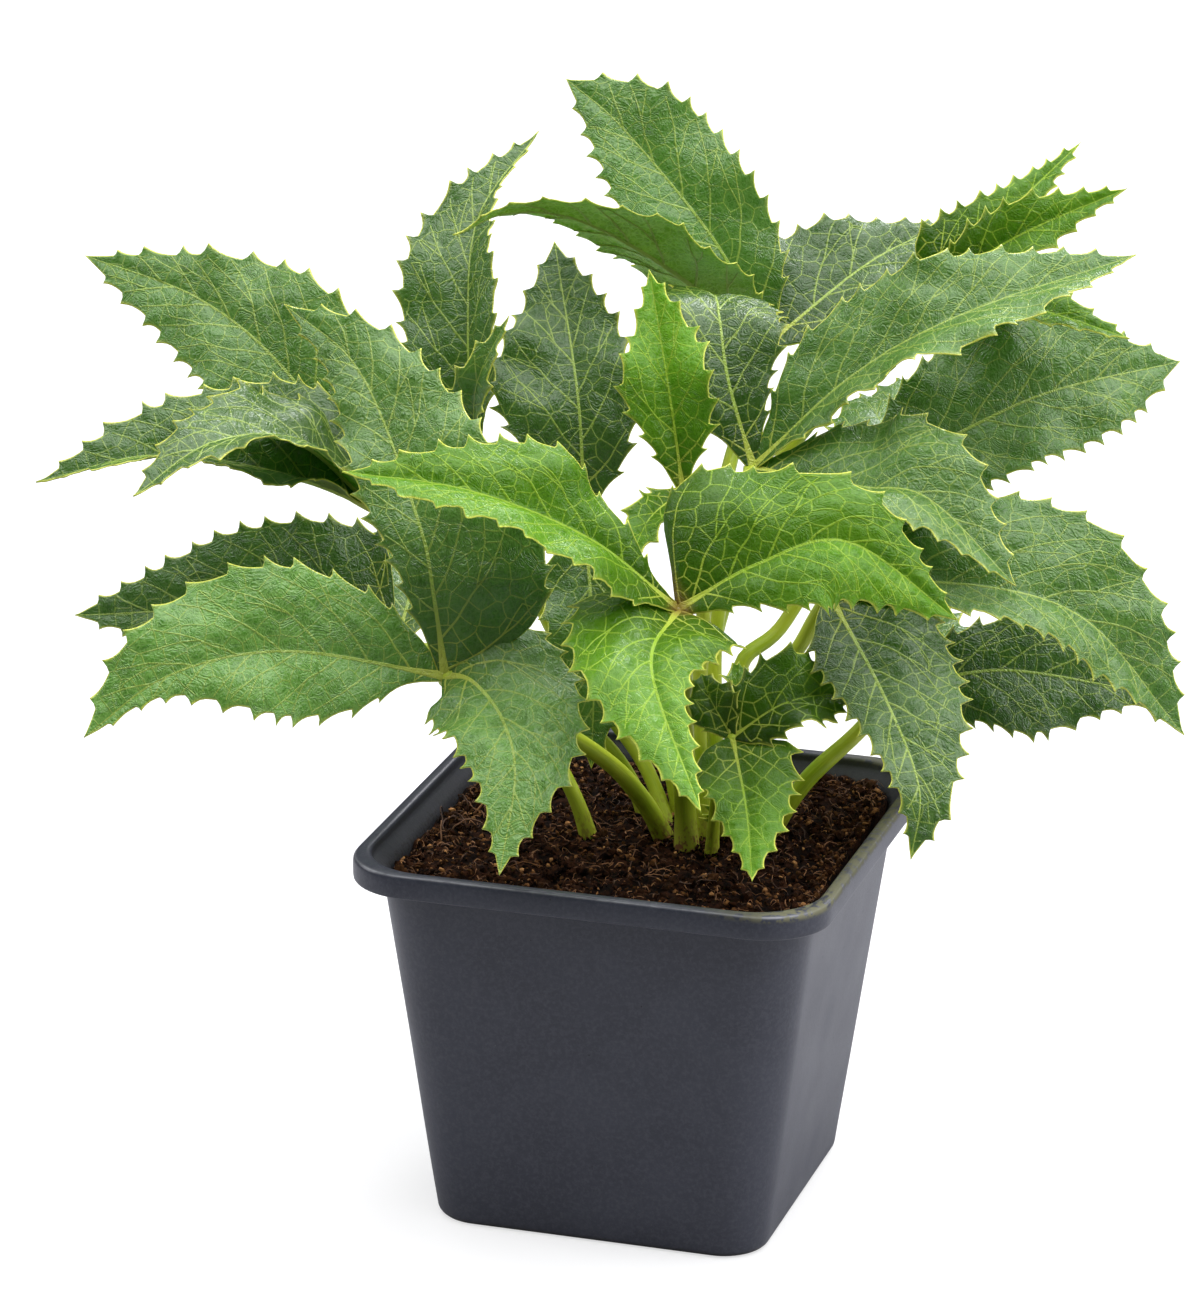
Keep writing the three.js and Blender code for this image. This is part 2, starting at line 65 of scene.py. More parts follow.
CAMERA_PLACE = Vector((423.1, -1446.9, 656.5)) * MM
CAMERA_AIM = Vector((-11.5, -3.5, 150.4)) * MM
CAMERA_LEAN = math.radians(0.49)
CAMERA_LENS = 164.0

camera = bpy.data.objects.new("camera", bpy.data.cameras.new("camera"))
camera.data.lens = CAMERA_LENS
camera.location = CAMERA_PLACE
camera.rotation_mode = "QUATERNION"
level_view = (CAMERA_AIM - CAMERA_PLACE).to_track_quat("-Z", "Y")
camera.rotation_quaternion = level_view @ Quaternion((0, 0, 1), CAMERA_LEAN)
scene.collection.objects.link(camera)
scene.camera = camera


# ---- floor and light ----
# A wide pale studio floor under a tent that is bright above and dark near the ground. A large
# soft box hangs overhead, with small ones behind and at both sides. The camera sees floor and
# tent near white, but they light the plant less than that, the floor in front least of all.

FLOOR_SIZE = 30.0
FLOOR_ROUGHNESS = 0.9
FLOOR_SEEN = (0.40, 0.40, 0.40, 1)
FLOOR_GLOW = 0.62
FLOOR_NEAR = (0.12, 0.12, 0.12, 1)
FLOOR_FAR = (0.40, 0.40, 0.42, 1)
FLOOR_BRIGHTENS = (-0.38, -0.20)
TENT_SEEN = 1.0
TENT_LIGHT = 0.63
TENT_BRIGHTENS = (0.18, 0.75)
SOFT_BOXES = {
    "top_box": ((0.3, 0.1, 1.90), 2.8, 74.0),
    "back_box": ((0.15, 1.50, 1.35), 0.5, 12.0),
    "right_box": ((1.7, 0.3, 0.85), 0.8, 11.5),
    "left_box": ((-1.7, -0.1, 1.0), 0.8, 9.0),
}
BOX_COLOUR = (0.96, 0.96, 1.0)


def add_node(tree, kind, settings=(), **inputs):
    """Adds a shader node. An input given as a socket is linked, and any other value is set."""
    made = tree.nodes.new(kind)
    for name, value in dict(settings).items():
        setattr(made, name, value)
    for name, value in inputs.items():
        connect(tree, made.inputs[name.replace("_", " ")], value)
    return made


def connect(tree, socket, value):
    if isinstance(value, bpy.types.NodeSocket):
        tree.links.new(value, socket)
    else:
        socket.default_value = value


def new_material(name):
    """An empty material with its output node."""
    material = bpy.data.materials.new(name)
    material.use_nodes = True
    tree = material.node_tree
    tree.nodes.clear()
    return material, tree, tree.nodes.new("ShaderNodeOutputMaterial")


def math_node(tree, operation, a, b=0.0, c=0.0):
    made = tree.nodes.new("ShaderNodeMath")
    made.operation = operation
    for socket, value in zip(made.inputs, (a, b, c)):
        connect(tree, socket, value)
    return made.outputs[0]


def blend_colours(tree, share, first, second):
    """The first colour turning into the second as share goes from 0 to 1."""
    made = tree.nodes.new("ShaderNodeMix")
    made.data_type = "RGBA"
    connect(tree, made.inputs[0], share)
    connect(tree, made.inputs[6], first)
    connect(tree, made.inputs[7], second)
    return made.outputs[2]


def step_between(tree, value, low, high, start=0.0, end=1.0):
    """A smooth step from start to end as value goes from low to high."""
    made = tree.nodes.new("ShaderNodeMapRange")
    made.interpolation_type = "SMOOTHSTEP"
    for socket, number in zip(made.inputs, (value, low, high, start, end)):
        connect(tree, socket, number)
    return made.outputs[0]


def soft_box(name, place, size, power):
    """A square lamp that faces the middle of the plant."""
    lamp = bpy.data.lights.new(name, "AREA")
    lamp.size = size
    lamp.energy = power
    lamp.color = BOX_COLOUR
    box = bpy.data.objects.new(name, lamp)
    box.location = place
    box.rotation_mode = "QUATERNION"
    box.rotation_quaternion = (CAMERA_AIM - place).to_track_quat("-Z", "Y")
    scene.collection.objects.link(box)


tent = bpy.data.worlds.new("tent")
tent.use_nodes = True
tree = tent.node_tree
seen = tree.nodes.new("ShaderNodeLightPath").outputs["Is Camera Ray"]
toward = tree.nodes.new("ShaderNodeTexCoord").outputs["Generated"]
upward = add_node(tree, "ShaderNodeSeparateXYZ", Vector=toward).outputs["Z"]
strength = step_between(tree, upward, *TENT_BRIGHTENS, 0.0, TENT_LIGHT)
strength = add_node(tree, "ShaderNodeMapRange", Value=seen, To_Min=strength, To_Max=TENT_SEEN)
connect(tree, tree.nodes["Background"].inputs["Color"], (1, 1, 1, 1))
connect(tree, tree.nodes["Background"].inputs["Strength"], strength.outputs[0])
scene.world = tent
scene.view_settings.view_transform = "Standard"
for name, (place, size, power) in SOFT_BOXES.items():
    soft_box(name, Vector(place), size, power)

bpy.ops.mesh.primitive_plane_add(size=FLOOR_SIZE)
floor = bpy.context.object
floor.name = "floor"
floor_finish, tree, output = new_material("floor_white")
seen = tree.nodes.new("ShaderNodeLightPath").outputs["Is Camera Ray"]
where = tree.nodes.new("ShaderNodeTexCoord").outputs["Object"]
depth = add_node(tree, "ShaderNodeSeparateXYZ", Vector=where).outputs["Y"]
grey = blend_colours(tree, step_between(tree, depth, *FLOOR_BRIGHTENS), FLOOR_NEAR, FLOOR_FAR)
shader = add_node(tree, "ShaderNodeBsdfPrincipled", Roughness=FLOOR_ROUGHNESS,
                  Base_Color=blend_colours(tree, seen, grey, FLOOR_SEEN), Emission_Color=(1, 1, 1, 1),
                  Emission_Strength=math_node(tree, "MULTIPLY", seen, FLOOR_GLOW))
tree.links.new(shader.outputs[0], output.inputs["Surface"])
floor.data.materials.append(floor_finish)
floor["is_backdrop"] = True


# ---- pot ----
# A square nursery pot, 13 cm across the rim. It is one thin injection moulding of dark grey
# polypropylene: tapered walls with a slight wave, a hollow skirt rim and four drain holes.

POT_HALF_AT_BASE = 45.9
POT_HALF_UNDER_RIM = 59.1
POT_CORNER_AT_BASE = 12.6
POT_CORNER_AT_TOP = 19.5
POT_EDGE_ROUND = 2.2
WALL = 1.8
RIM_UNDERSIDE = 99.1
RIM_HALF = 65.0
RIM_CORNER = 18.0
CORNER_STEPS = 14
SIDE_STEPS = 22
WALL_STEPS = 16
WALL_WAVE = 0.16
WALL_WAVE_LENGTH = 38.0
DRAIN_RADIUS = 4.0
DRAIN_FROM_MIDDLE = 27.0
DRAIN_SIDES = 28
EDGE_STEPS = 6
INSIDE_ROUND = 2.2
INSIDE_STEPS = 5

# The rim from the wall's outside, under and up round the skirt, over the bead and down the
# sloping ledge to the wall's inside: how far each line stands out from the wall, and its height.
RIM_LINES = (
    (0.00, 97.6), (0.15, 99.4), (0.50, 101.6), (1.60, 102.7), (3.60, 102.7), (4.35, 101.6),
    (4.50, 99.9), (4.62, 99.35), (4.90, 99.12), (5.30, 99.10), (5.62, 99.24), (5.80, 99.60),
    (5.88, 100.3), (5.90, 102.4), (5.88, 104.3), (5.78, 104.95), (5.50, 105.45), (5.05, 105.74),
    (4.50, 105.80), (3.40, 105.78), (2.75, 105.62), (2.35, 105.25), (2.15, 104.7), (2.05, 103.8),
    (1.80, 103.3), (1.20, 102.6), (-0.40, 100.9), (-1.35, 99.7), (-1.72, 98.6), (-1.80, 97.0),
)

# Which of those lines carry a painted highlight, and how strong. How many of the last ones lie inside the
# pot.
RIM_HIGHLIGHT_LINES = {10: 0.55, 16: 1.0}
INSIDE_RIM_LINES = 8

PLASTIC_DARK = (0.0335, 0.0365, 0.0520, 1)
PLASTIC_LIGHT = (0.0415, 0.0455, 0.0630, 1)
PLASTIC_LIGHTEST = (0.0760, 0.0810, 0.0980, 1)
PLASTIC_DUST = (0.115, 0.108, 0.100, 1)
PLASTIC_NICK_AND_HIGHLIGHT = (0.230, 0.235, 0.255, 1)
PINHOLE_AND_SHADE_DARK = (0.006, 0.006, 0.008, 1)
SOIL_DUST = (0.020, 0.012, 0.007, 1)
LIME_STAIN = (0.165, 0.160, 0.075, 1)

# Heights between which a stain or painted shade fades, and how far to the right lime sets on the rim.
FOOT_SHADE = (0.7, 2.2)
SOILED_WALL = (97.5, 102.5)
LIME_BAND = (103.6, 105.0)
LIME_SIDE = (30.0, 58.0)


def rounded_square(half, radius):
    """Points of a square outline with round corners, anticlockwise seen from above."""
    points = []
    for corner in range(4):
        turn = corner * math.pi / 2
        cos, sin = math.cos(turn), math.sin(turn)
        arc = []
        for step in range(CORNER_STEPS + 1):
            angle = step / CORNER_STEPS * math.pi / 2
            arc.append((half - radius + radius * math.cos(angle), half - radius + radius * math.sin(angle)))
        for step in range(1, SIDE_STEPS):
            share = 2 * step / SIDE_STEPS - 1
            arc.append((-share * (half - radius), half))
        points += [(x * cos - y * sin, x * sin + y * cos) for x, y in arc]
    return np.array(points)


def wall_at(z):
    """Half width and corner radius of the pot's outside at a height below the rim."""
    share = z / RIM_UNDERSIDE
    half = POT_HALF_AT_BASE + (POT_HALF_UNDER_RIM - POT_HALF_AT_BASE) * share
    corner = POT_CORNER_AT_BASE + (POT_CORNER_AT_TOP - POT_CORNER_AT_BASE) * share
    return half, corner


def pot_ring(outset, z):
    """One outline of the moulding, standing out from the wall's outside by outset."""
    half, corner = wall_at(min(z, RIM_UNDERSIDE))
    rim_share = max(0.0, outset) / (RIM_HALF - POT_HALF_UNDER_RIM)
    corner += (RIM_CORNER - POT_CORNER_AT_TOP - (RIM_HALF - POT_HALF_UNDER_RIM)) * rim_share
    outline = rounded_square(half + outset, corner + outset)
    ring = np.column_stack([outline, np.full(len(outline), z)])
    if 3 < z < RIM_UNDERSIDE:
        away = outline / np.linalg.norm(outline, axis=1)[:, None]
        wave = [noise.noise(Vector(point) / WALL_WAVE_LENGTH) for point in ring]
        ring[:, :2] += away * (np.array(wave) * WALL_WAVE)[:, None]
    return ring


def make_piece(name, points, faces, finishes, values=None, flat=False):
    """A mesh object in the plant's frame from points in millimetres, with point attributes."""
    mesh = bpy.data.meshes.new(name)
    mesh.from_pydata((np.asarray(points) * MM).tolist(), [], faces)
    for label, numbers in (values or {}).items():
        numbers = np.asarray(numbers, dtype=np.float32)
        kind, field = ("FLOAT_VECTOR", "vector") if numbers.ndim == 2 else ("FLOAT", "value")
        mesh.attributes.new(label, kind, "POINT").data.foreach_set(field, numbers.ravel())
    for material in finishes:
        mesh.materials.append(material)
    if not flat:
        mesh.shade_smooth()
    piece = bpy.data.objects.new(name, mesh)
    scene.collection.objects.link(piece)
    return piece


def ring_faces(rings, count):
    """Quads between each ring of count points and the next."""
    faces = []
    for ring in range(rings - 1):
        low = ring * count
        for i in range(count):
            after = (i + 1) % count
            faces.append((low + i, low + after, low + count + after, low + count + i))
    return faces


def pot_mesh():
    """Points and faces of the moulding, 1 for each point on its inside, and how strong a painted highlight
    each carries.
    """
    edge = POT_EDGE_ROUND
    rings = [pot_ring(-edge * (1 - math.sin(a)), edge * (1 - math.cos(a)))
             for a in np.linspace(0, math.pi / 2, EDGE_STEPS)]
    heights = np.linspace(edge, RIM_LINES[0][1], WALL_STEPS)[1:-1]
    rings += [pot_ring(0, z) for z in heights]
    rim_start = len(rings)
    rings += [pot_ring(outset, z) for outset, z in RIM_LINES]
    inside_start = len(rings) - INSIDE_RIM_LINES
    rings += [pot_ring(-WALL, z) for z in heights[::-1] if z > 6]
    rings += [pot_ring(-WALL - INSIDE_ROUND * (1 - math.cos(a)), WALL + INSIDE_ROUND * (1 - math.sin(a)))
              for a in np.linspace(0, math.pi / 2, INSIDE_STEPS)]
    count = len(rings[0])
    faces = ring_faces(len(rings), count)
    points = np.concatenate(rings)
    inside = np.zeros(len(points))
    inside[inside_start * count:] = 1
    drain = [(DRAIN_RADIUS * math.cos(2 * math.pi * i / DRAIN_SIDES),
              DRAIN_RADIUS * math.sin(2 * math.pi * i / DRAIN_SIDES)) for i in range(DRAIN_SIDES)]
    both_sides = (-DRAIN_FROM_MIDDLE, DRAIN_FROM_MIDDLE)
    places = [(x, y) for x in both_sides for y in both_sides]
    first = len(points)
    extra = [(px + x, py + y, z) for z in (0, WALL) for px, py in places for x, y in drain]
    points = np.concatenate([points, extra])
    inside = np.concatenate([inside, np.ones(len(extra))])
    for level, ring in ((0, 0), (1, len(rings) - 1)):
        start = first + level * 4 * DRAIN_SIDES
        loops = [[ring * count + i for i in range(count)]]
        loops += [[start + hole * DRAIN_SIDES + i for i in range(DRAIN_SIDES)] for hole in range(4)]
        order = [index for loop in loops for index in loop]
        flat = geometry.tessellate_polygon([[Vector(points[i]) for i in loop] for loop in loops])
        for a, b, c in flat:
            a, b, c = order[a], order[b], order[c]
            turn = np.cross(points[b] - points[a], points[c] - points[a])[2]
            faces.append((a, b, c) if (turn > 0) == (level == 1) else (a, c, b))
    for hole in range(4):
        low = first + hole * DRAIN_SIDES
        high = low + 4 * DRAIN_SIDES
        for i in range(DRAIN_SIDES):
            after = (i + 1) % DRAIN_SIDES
            faces.append((low + after, low + i, high + i, high + after))
    rim_highlight = np.zeros(len(points))
    for line, share in RIM_HIGHLIGHT_LINES.items():
        rim_highlight[(rim_start + line) * count:(rim_start + line + 1) * count] = share
    return points, faces, inside, rim_highlight


def new_group(name, inputs, outputs):
    """An empty shader node group with typed sockets, and its input and output nodes."""
    group = bpy.data.node_groups.new(name, "ShaderNodeTree")
    for label, kind, value in inputs:
        socket = group.interface.new_socket(label, in_out="INPUT", socket_type=kind)
        if value is not None:
            socket.default_value = value
    for label, kind in outputs:
        group.interface.new_socket(label, in_out="OUTPUT", socket_type=kind)
    return group, group.nodes.new("NodeGroupInput").outputs, group.nodes.new("NodeGroupOutput").inputs


def noise_value(tree, where, scale, detail, **others):
    """Soft noise about 0.5, with scale lumps to each unit of where."""
    return add_node(tree, "ShaderNodeTexNoise", Vector=where, Scale=scale, Detail=detail,
                    **others).outputs["Fac"]


def bumpy_skin(tree, height, strength, distance, **looks):
    """An opaque finish raised by height, up to distance in metres."""
    bump = add_node(tree, "ShaderNodeBump", Height=height, Strength=strength, Distance=distance)
    return add_node(tree, "ShaderNodeBsdfPrincipled", Normal=bump.outputs[0], **looks).outputs[0]


# Soft cloudy change from one colour to another over about Size millimetres.
cloud, given, put = new_group(
    "cloud",
    [("Place", "NodeSocketVector", None), ("Size", "NodeSocketFloat", 20.0),
     ("First", "NodeSocketColor", None), ("Second", "NodeSocketColor", None)],
    [("Color", "NodeSocketColor")])
scale = math_node(cloud, "DIVIDE", 1.0, given["Size"])
soft = noise_value(cloud, given["Place"], scale, 3.0, Roughness=0.6)
share = step_between(cloud, soft, 0.35, 0.65)
cloud.links.new(blend_colours(cloud, share, given["First"], given["Second"]), put["Color"])

# Small separate specks, about Size millimetres apart. Amount is how much of the surface they take.
specks, given, put = new_group(
    "specks",
    [("Place", "NodeSocketVector", None), ("Size", "NodeSocketFloat", 1.0),
     ("Amount", "NodeSocketFloat", 0.3)],
    [("Mask", "NodeSocketFloat")])
scale = math_node(specks, "DIVIDE", 1.0, given["Size"])
grains = noise_value(specks, given["Place"], scale, 2.0, Roughness=0.7)
low = math_node(specks, "SUBTRACT", 0.72, math_node(specks, "MULTIPLY", given["Amount"], 0.4))
mask = step_between(specks, grains, low, math_node(specks, "ADD", low, 0.1))
specks.links.new(mask, put["Mask"])


def use_group(tree, group, **inputs):
    made = tree.nodes.new("ShaderNodeGroup")
    made.node_tree = group
    for name, value in inputs.items():
        connect(tree, made.inputs[name], value)
    return made.outputs[0]


def place_in_mm(tree):
    """The point's place on the piece, in millimetres."""
    where = tree.nodes.new("ShaderNodeTexCoord").outputs["Object"]
    scaled = add_node(tree, "ShaderNodeVectorMath", {"operation": "SCALE"}, Vector=where, Scale=1000.0)
    return scaled.outputs[0]


def stretched(tree, where, scale, turn=(0, 0, 0)):
    return add_node(tree, "ShaderNodeMapping", Vector=where, Scale=scale, Rotation=turn).outputs[0]


def point_value(tree, name):
    return add_node(tree, "ShaderNodeAttribute", {"attribute_name": name}).outputs["Fac"]


pot_plastic, tree, output = new_material("pot_plastic")
where = place_in_mm(tree)
across = add_node(tree, "ShaderNodeSeparateXYZ", Vector=where).outputs["X"]
height = add_node(tree, "ShaderNodeSeparateXYZ", Vector=where).outputs["Z"]
inside = point_value(tree, "inside")
colour = use_group(tree, cloud, Place=where, Size=26.0, First=PLASTIC_DARK, Second=PLASTIC_LIGHT)

# Fine dust, thicker in some places.
dust = use_group(tree, specks, Place=where, Size=0.55, Amount=0.16)
settled = use_group(tree, specks, Place=where, Size=17.0, Amount=0.55)
dusty = math_node(tree, "MULTIPLY", dust, math_node(tree, "MULTIPLY_ADD", settled, 0.5, 0.3))
colour = blend_colours(tree, dusty, colour, PLASTIC_DUST)

# The flow marks of the moulding, and a few pale nicks and dark pinholes.
mottle = noise_value(tree, where, 0.8, 4.0, Roughness=0.75)
colour = blend_colours(tree, step_between(tree, mottle, 0.40, 0.68, 0.0, 0.5), colour, PLASTIC_LIGHTEST)
dots = add_node(tree, "ShaderNodeTexVoronoi", Vector=where, Scale=0.13, Randomness=1.0)
dot_kind = add_node(tree, "ShaderNodeSeparateXYZ", Vector=dots.outputs["Color"]).outputs["X"]
dot = step_between(tree, dots.outputs["Distance"], 0.022, 0.034, 1.0, 0.0)
nick = math_node(tree, "MULTIPLY", dot, step_between(tree, dot_kind, 0.62, 0.66, 0.0, 0.8))
pinhole = math_node(tree, "MULTIPLY", dot, step_between(tree, dot_kind, 0.30, 0.34, 0.9, 0.0))
colour = blend_colours(tree, nick, colour, PLASTIC_NICK_AND_HIGHLIGHT)
colour = blend_colours(tree, pinhole, colour, PINHOLE_AND_SHADE_DARK)

# Painted shade at the dark foot, painted highlight lines along the rim's edges, and lime on the right of the
# rim.
colour = blend_colours(tree, step_between(tree, height, *FOOT_SHADE, 0.97, 0.0), colour, PINHOLE_AND_SHADE_DARK)
# Painted highlight: thin pale lines along the rim's lower edge and the top outer edge of its bead, broken up
# by noise.
rim_highlight = math_node(tree, "POWER", point_value(tree, "rim_highlight"), 1.8)
highlight_breaks = step_between(tree, noise_value(tree, where, 0.25, 3.0), 0.35, 0.6, 0.45, 1.0)
rim_highlight = math_node(tree, "MULTIPLY", rim_highlight, highlight_breaks)
colour = blend_colours(tree, rim_highlight, colour, PLASTIC_NICK_AND_HIGHLIGHT)
patches = use_group(tree, specks, Place=where, Size=2.6, Amount=0.8)
lime = math_node(tree, "MULTIPLY", step_between(tree, across, *LIME_SIDE), patches)
lime = math_node(tree, "MULTIPLY", step_between(tree, height, *LIME_BAND), lime)
colour = blend_colours(tree, math_node(tree, "MULTIPLY", lime, 0.75), colour, LIME_STAIN)

# Painted shade darkens the inside, with peat stuck to it low down.
soiled = use_group(tree, specks, Place=where, Size=1.4, Amount=0.55)
soiled = math_node(tree, "MULTIPLY", soiled, step_between(tree, height, *SOILED_WALL, 0.85, 0.0))
soiled = math_node(tree, "MULTIPLY", soiled, inside)
colour = blend_colours(tree, math_node(tree, "MULTIPLY", inside, 0.55), colour, PINHOLE_AND_SHADE_DARK)
colour = blend_colours(tree, soiled, colour, SOIL_DUST)

# Roughness and relief: slanting scratches, the grain of the mould, and all that lies on it.
scratch_place = stretched(tree, where, (0.12, 0.12, 2.6), (0.35, 0.2, 0.4))
scratches = use_group(tree, specks, Place=scratch_place, Size=1.0, Amount=0.06)
rough = math_node(tree, "MULTIPLY_ADD", noise_value(tree, where, 0.05, 1.0), 0.14, 0.27)
for layer, share in ((dusty, 0.5), (scratches, 0.25), (inside, 0.2), (lime, 0.35), (soiled, 0.35)):
    rough = math_node(tree, "MULTIPLY_ADD", layer, share, rough)
relief = math_node(tree, "MULTIPLY", noise_value(tree, where, 2.2, 2.0), 0.3)
for layer, share in ((mottle, 0.6), (scratches, -0.35)):
    relief = math_node(tree, "MULTIPLY_ADD", layer, share, relief)
skin = bumpy_skin(tree, relief, 0.6, 0.00012, Base_Color=colour, Roughness=rough, IOR=1.5)
tree.links.new(skin, output.inputs["Surface"])

points, faces, inside, rim_highlight = pot_mesh()
pot = make_piece("nursery_pot", points, faces, [pot_plastic], {"inside": inside, "rim_highlight": rim_highlight})
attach(pot, "root")
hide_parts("pot")


# ---- soil ----
# Peat and bark potting mix that fills the pot to just under the rim. Its top is a bed of dark
# crumbs with tan bits of bark, banked up a little at the back right. Short fibres and thin roots
# lie on it.

SOIL_LEVEL = 97.5
SOIL_GAP = 0.25
SOIL_MOUND = 2.5
SOIL_CRUMB = 0.8
SOIL_CRUMB_LENGTH = 20.0
SOIL_HALF = 57.0
BANK_HEIGHT = 3.0
SOIL_CORNER = 16.9
BED_STEPS = 146
BED_LIFT = 0.55
BED_ROUGHNESS = 1.5
CRUMB_COUNT = 5200
BIG_CRUMB_COUNT = 400
CHIP_COUNT = 800
FIBRE_COUNT = 1500
ROOT_COUNT = 70
EDGE_ROOT_COUNT = 14
HOLLOW_DEPTH = 0.9

PEAT_DARK = (0.0026, 0.0012, 0.0008, 1)
PEAT_BROWN = (0.0440, 0.0155, 0.0062, 1)
BARK_TAN = (0.3600, 0.1600, 0.0560, 1)
ROOT_TAN = (0.4400, 0.2000, 0.0800, 1)
FLECK_PALE = (0.6600, 0.3300, 0.1300, 1)

luck = np.random.default_rng(7)


def soil_height(x, y):
    """The soil's gently mounded top, as the stalks meet it."""
    reach = np.hypot(x, y) / POT_HALF_UNDER_RIM
    mound = SOIL_MOUND * np.maximum(0, 1 - reach ** 2)
    turn = 2 * math.pi / SOIL_CRUMB_LENGTH
    lumps = np.sin(turn * x + 1) * np.cos(turn * y) + np.sin(turn * (2 * x - y))
    return SOIL_LEVEL + mound + SOIL_CRUMB / 2 * lumps


def bank(x, y):
    """How much higher the bed lies towards the pot's back right corner."""
    return BANK_HEIGHT * np.clip(0.6 * (x + y) / SOIL_HALF, 0, 1) ** 1.5


def bed_height(x, y):
    """The bed's own surface: the soil's top with clods and crumbs in three sizes."""
    height = soil_height(x, y) + BED_LIFT + bank(x, y)
    for size, share in ((11.0, 0.55), (4.2, 0.65), (1.7, 0.45)):
        rough = [noise.noise(Vector((a, b, 3 * size)) / size) for a, b in zip(x, y)]
        height = height + BED_ROUGHNESS * share * np.array(rough)
    return height


def into_corner(x, y, half, radius):
    """Draws a square's points in to its rounded corners."""
    a, b = np.abs(x) - (half - radius), np.abs(y) - (half - radius)
    corner = (a > 0) & (b > 0)
    pull = np.where(corner, np.maximum(a, b) / np.maximum(np.hypot(a, b), 1e-9), 1)
    x = np.where(corner, np.sign(x) * (half - radius + a * pull), x)
    y = np.where(corner, np.sign(y) * (half - radius + b * pull), y)
    return x, y


def grid_quads(rows, columns):
    """The quads of a grid of points given row by row."""
    index = np.arange(rows * columns).reshape(rows, columns)
    return np.stack([index[:-1, :-1], index[:-1, 1:], index[1:, 1:], index[1:, :-1]], axis=-1).reshape(-1, 4)


def bed_mesh():
    """The soil's body: the crumbly top, its sides just inside the pot's wall, and its floor.
    Also how much painted shade each point takes: 1 deep in a hollow, down to 0 on high ground."""
    line = np.linspace(-SOIL_HALF, SOIL_HALF, BED_STEPS + 1)
    x, y = (grid.ravel() for grid in np.meshgrid(line, line))
    x, y = into_corner(x, y, SOIL_HALF, SOIL_CORNER)
    points = np.column_stack([x, y, bed_height(x, y)])
    above = points[:, 2] - soil_height(x, y) - BED_LIFT - bank(x, y)
    hollow = np.clip(0.5 - above / HOLLOW_DEPTH, 0, 1)
    side = BED_STEPS + 1
    faces = grid_quads(side, side).tolist()
    rim = list(range(side)) + [i * side + side - 1 for i in range(1, side)]
    rim += [BED_STEPS * side + side - 1 - i for i in range(1, side)]
    rim += [(BED_STEPS - i) * side for i in range(1, BED_STEPS)]
    start = len(points)
    outline = points[rim]
    for z in (60.0, 20.0, WALL + SOIL_GAP):
        share = (wall_at(z)[0] - WALL - SOIL_GAP) / SOIL_HALF
        layer = np.column_stack([outline[:, 0] * share, outline[:, 1] * share, np.full(len(rim), z)])
        points = np.concatenate([points, layer])
    count = len(rim)
    for i in range(count):
        after = (i + 1) % count
        faces.append((rim[i], start + i, start + after, rim[after]))
        for layer in range(2):
            low = start + layer * count
            faces.append((low + i, low + count + i, low + count + after, low + after))
    faces.append(tuple(start + 2 * count + i for i in range(count))[::-1])
    return points, faces, np.append(hollow, np.ones(len(points) - len(hollow)))


def crumb_forms():
    """A twelve-cornered lump and a finer one with each of its faces split in four."""
    golden = (1 + 5 ** 0.5) / 2
    corners = [(0, a, b) for a in (-1, 1) for b in (-golden, golden)]
    corners += [(a, b, 0) for a in (-1, 1) for b in (-golden, golden)]
    corners += [(b, 0, a) for a in (-1, 1) for b in (-golden, golden)]
    corners = [Vector(corner).normalized() for corner in corners]
    reach = min((corners[0] - other).length for other in corners[1:]) * 1.1
    faces = []
    for a in range(12):
        for b in range(a + 1, 12):
            for c in range(b + 1, 12):
                p, q, r = corners[a], corners[b], corners[c]
                if max((p - q).length, (q - r).length, (p - r).length) < reach:
                    outward = (q - p).cross(r - p).dot(p) > 0
                    faces.append((a, b, c) if outward else (a, c, b))
    coarse = np.array(corners), np.array(faces)
    fine, middles, split = list(corners), {}, []
    for a, b, c in faces:
        half = []
        for pair in ((a, b), (b, c), (c, a)):
            key = tuple(sorted(pair))
            if key not in middles:
                middles[key] = len(fine)
                fine.append((corners[pair[0]] + corners[pair[1]]).normalized())
            half.append(middles[key])
        ab, bc, ca = half
        split += [(a, ab, ca), (b, bc, ab), (c, ca, bc), (ab, bc, ca)]
    return coarse, (np.array(fine), np.array(split))


def on_soil(count, edge_pull=0.0):
    """Places scattered over the soil, some of them drawn to the pot's wall."""
    x, y = luck.uniform(-SOIL_HALF, SOIL_HALF, (2, count))
    near = luck.random(count) < edge_pull
    side = luck.integers(0, 4, count)
    out = SOIL_HALF - luck.exponential(3.0, count)
    x = np.where(near & (side == 0), out, np.where(near & (side == 1), -out, x))
    y = np.where(near & (side == 2), out, np.where(near & (side == 3), -out, y))
    x, y = into_corner(x, y, SOIL_HALF, SOIL_CORNER)
    return x * 0.985, y * 0.985


def random_turns(count):
    """One random rotation for each lump."""
    q = luck.normal(size=(count, 4))
    w, x, y, z = (q / np.linalg.norm(q, axis=1)[:, None]).T
    return np.array([
        [1 - 2 * (y * y + z * z), 2 * (x * y - z * w), 2 * (x * z + y * w)],
        [2 * (x * y + z * w), 1 - 2 * (x * x + z * z), 2 * (y * z - x * w)],
        [2 * (x * z - y * w), 2 * (y * z + x * w), 1 - 2 * (x * x + y * y)],
    ]).transpose(2, 0, 1)


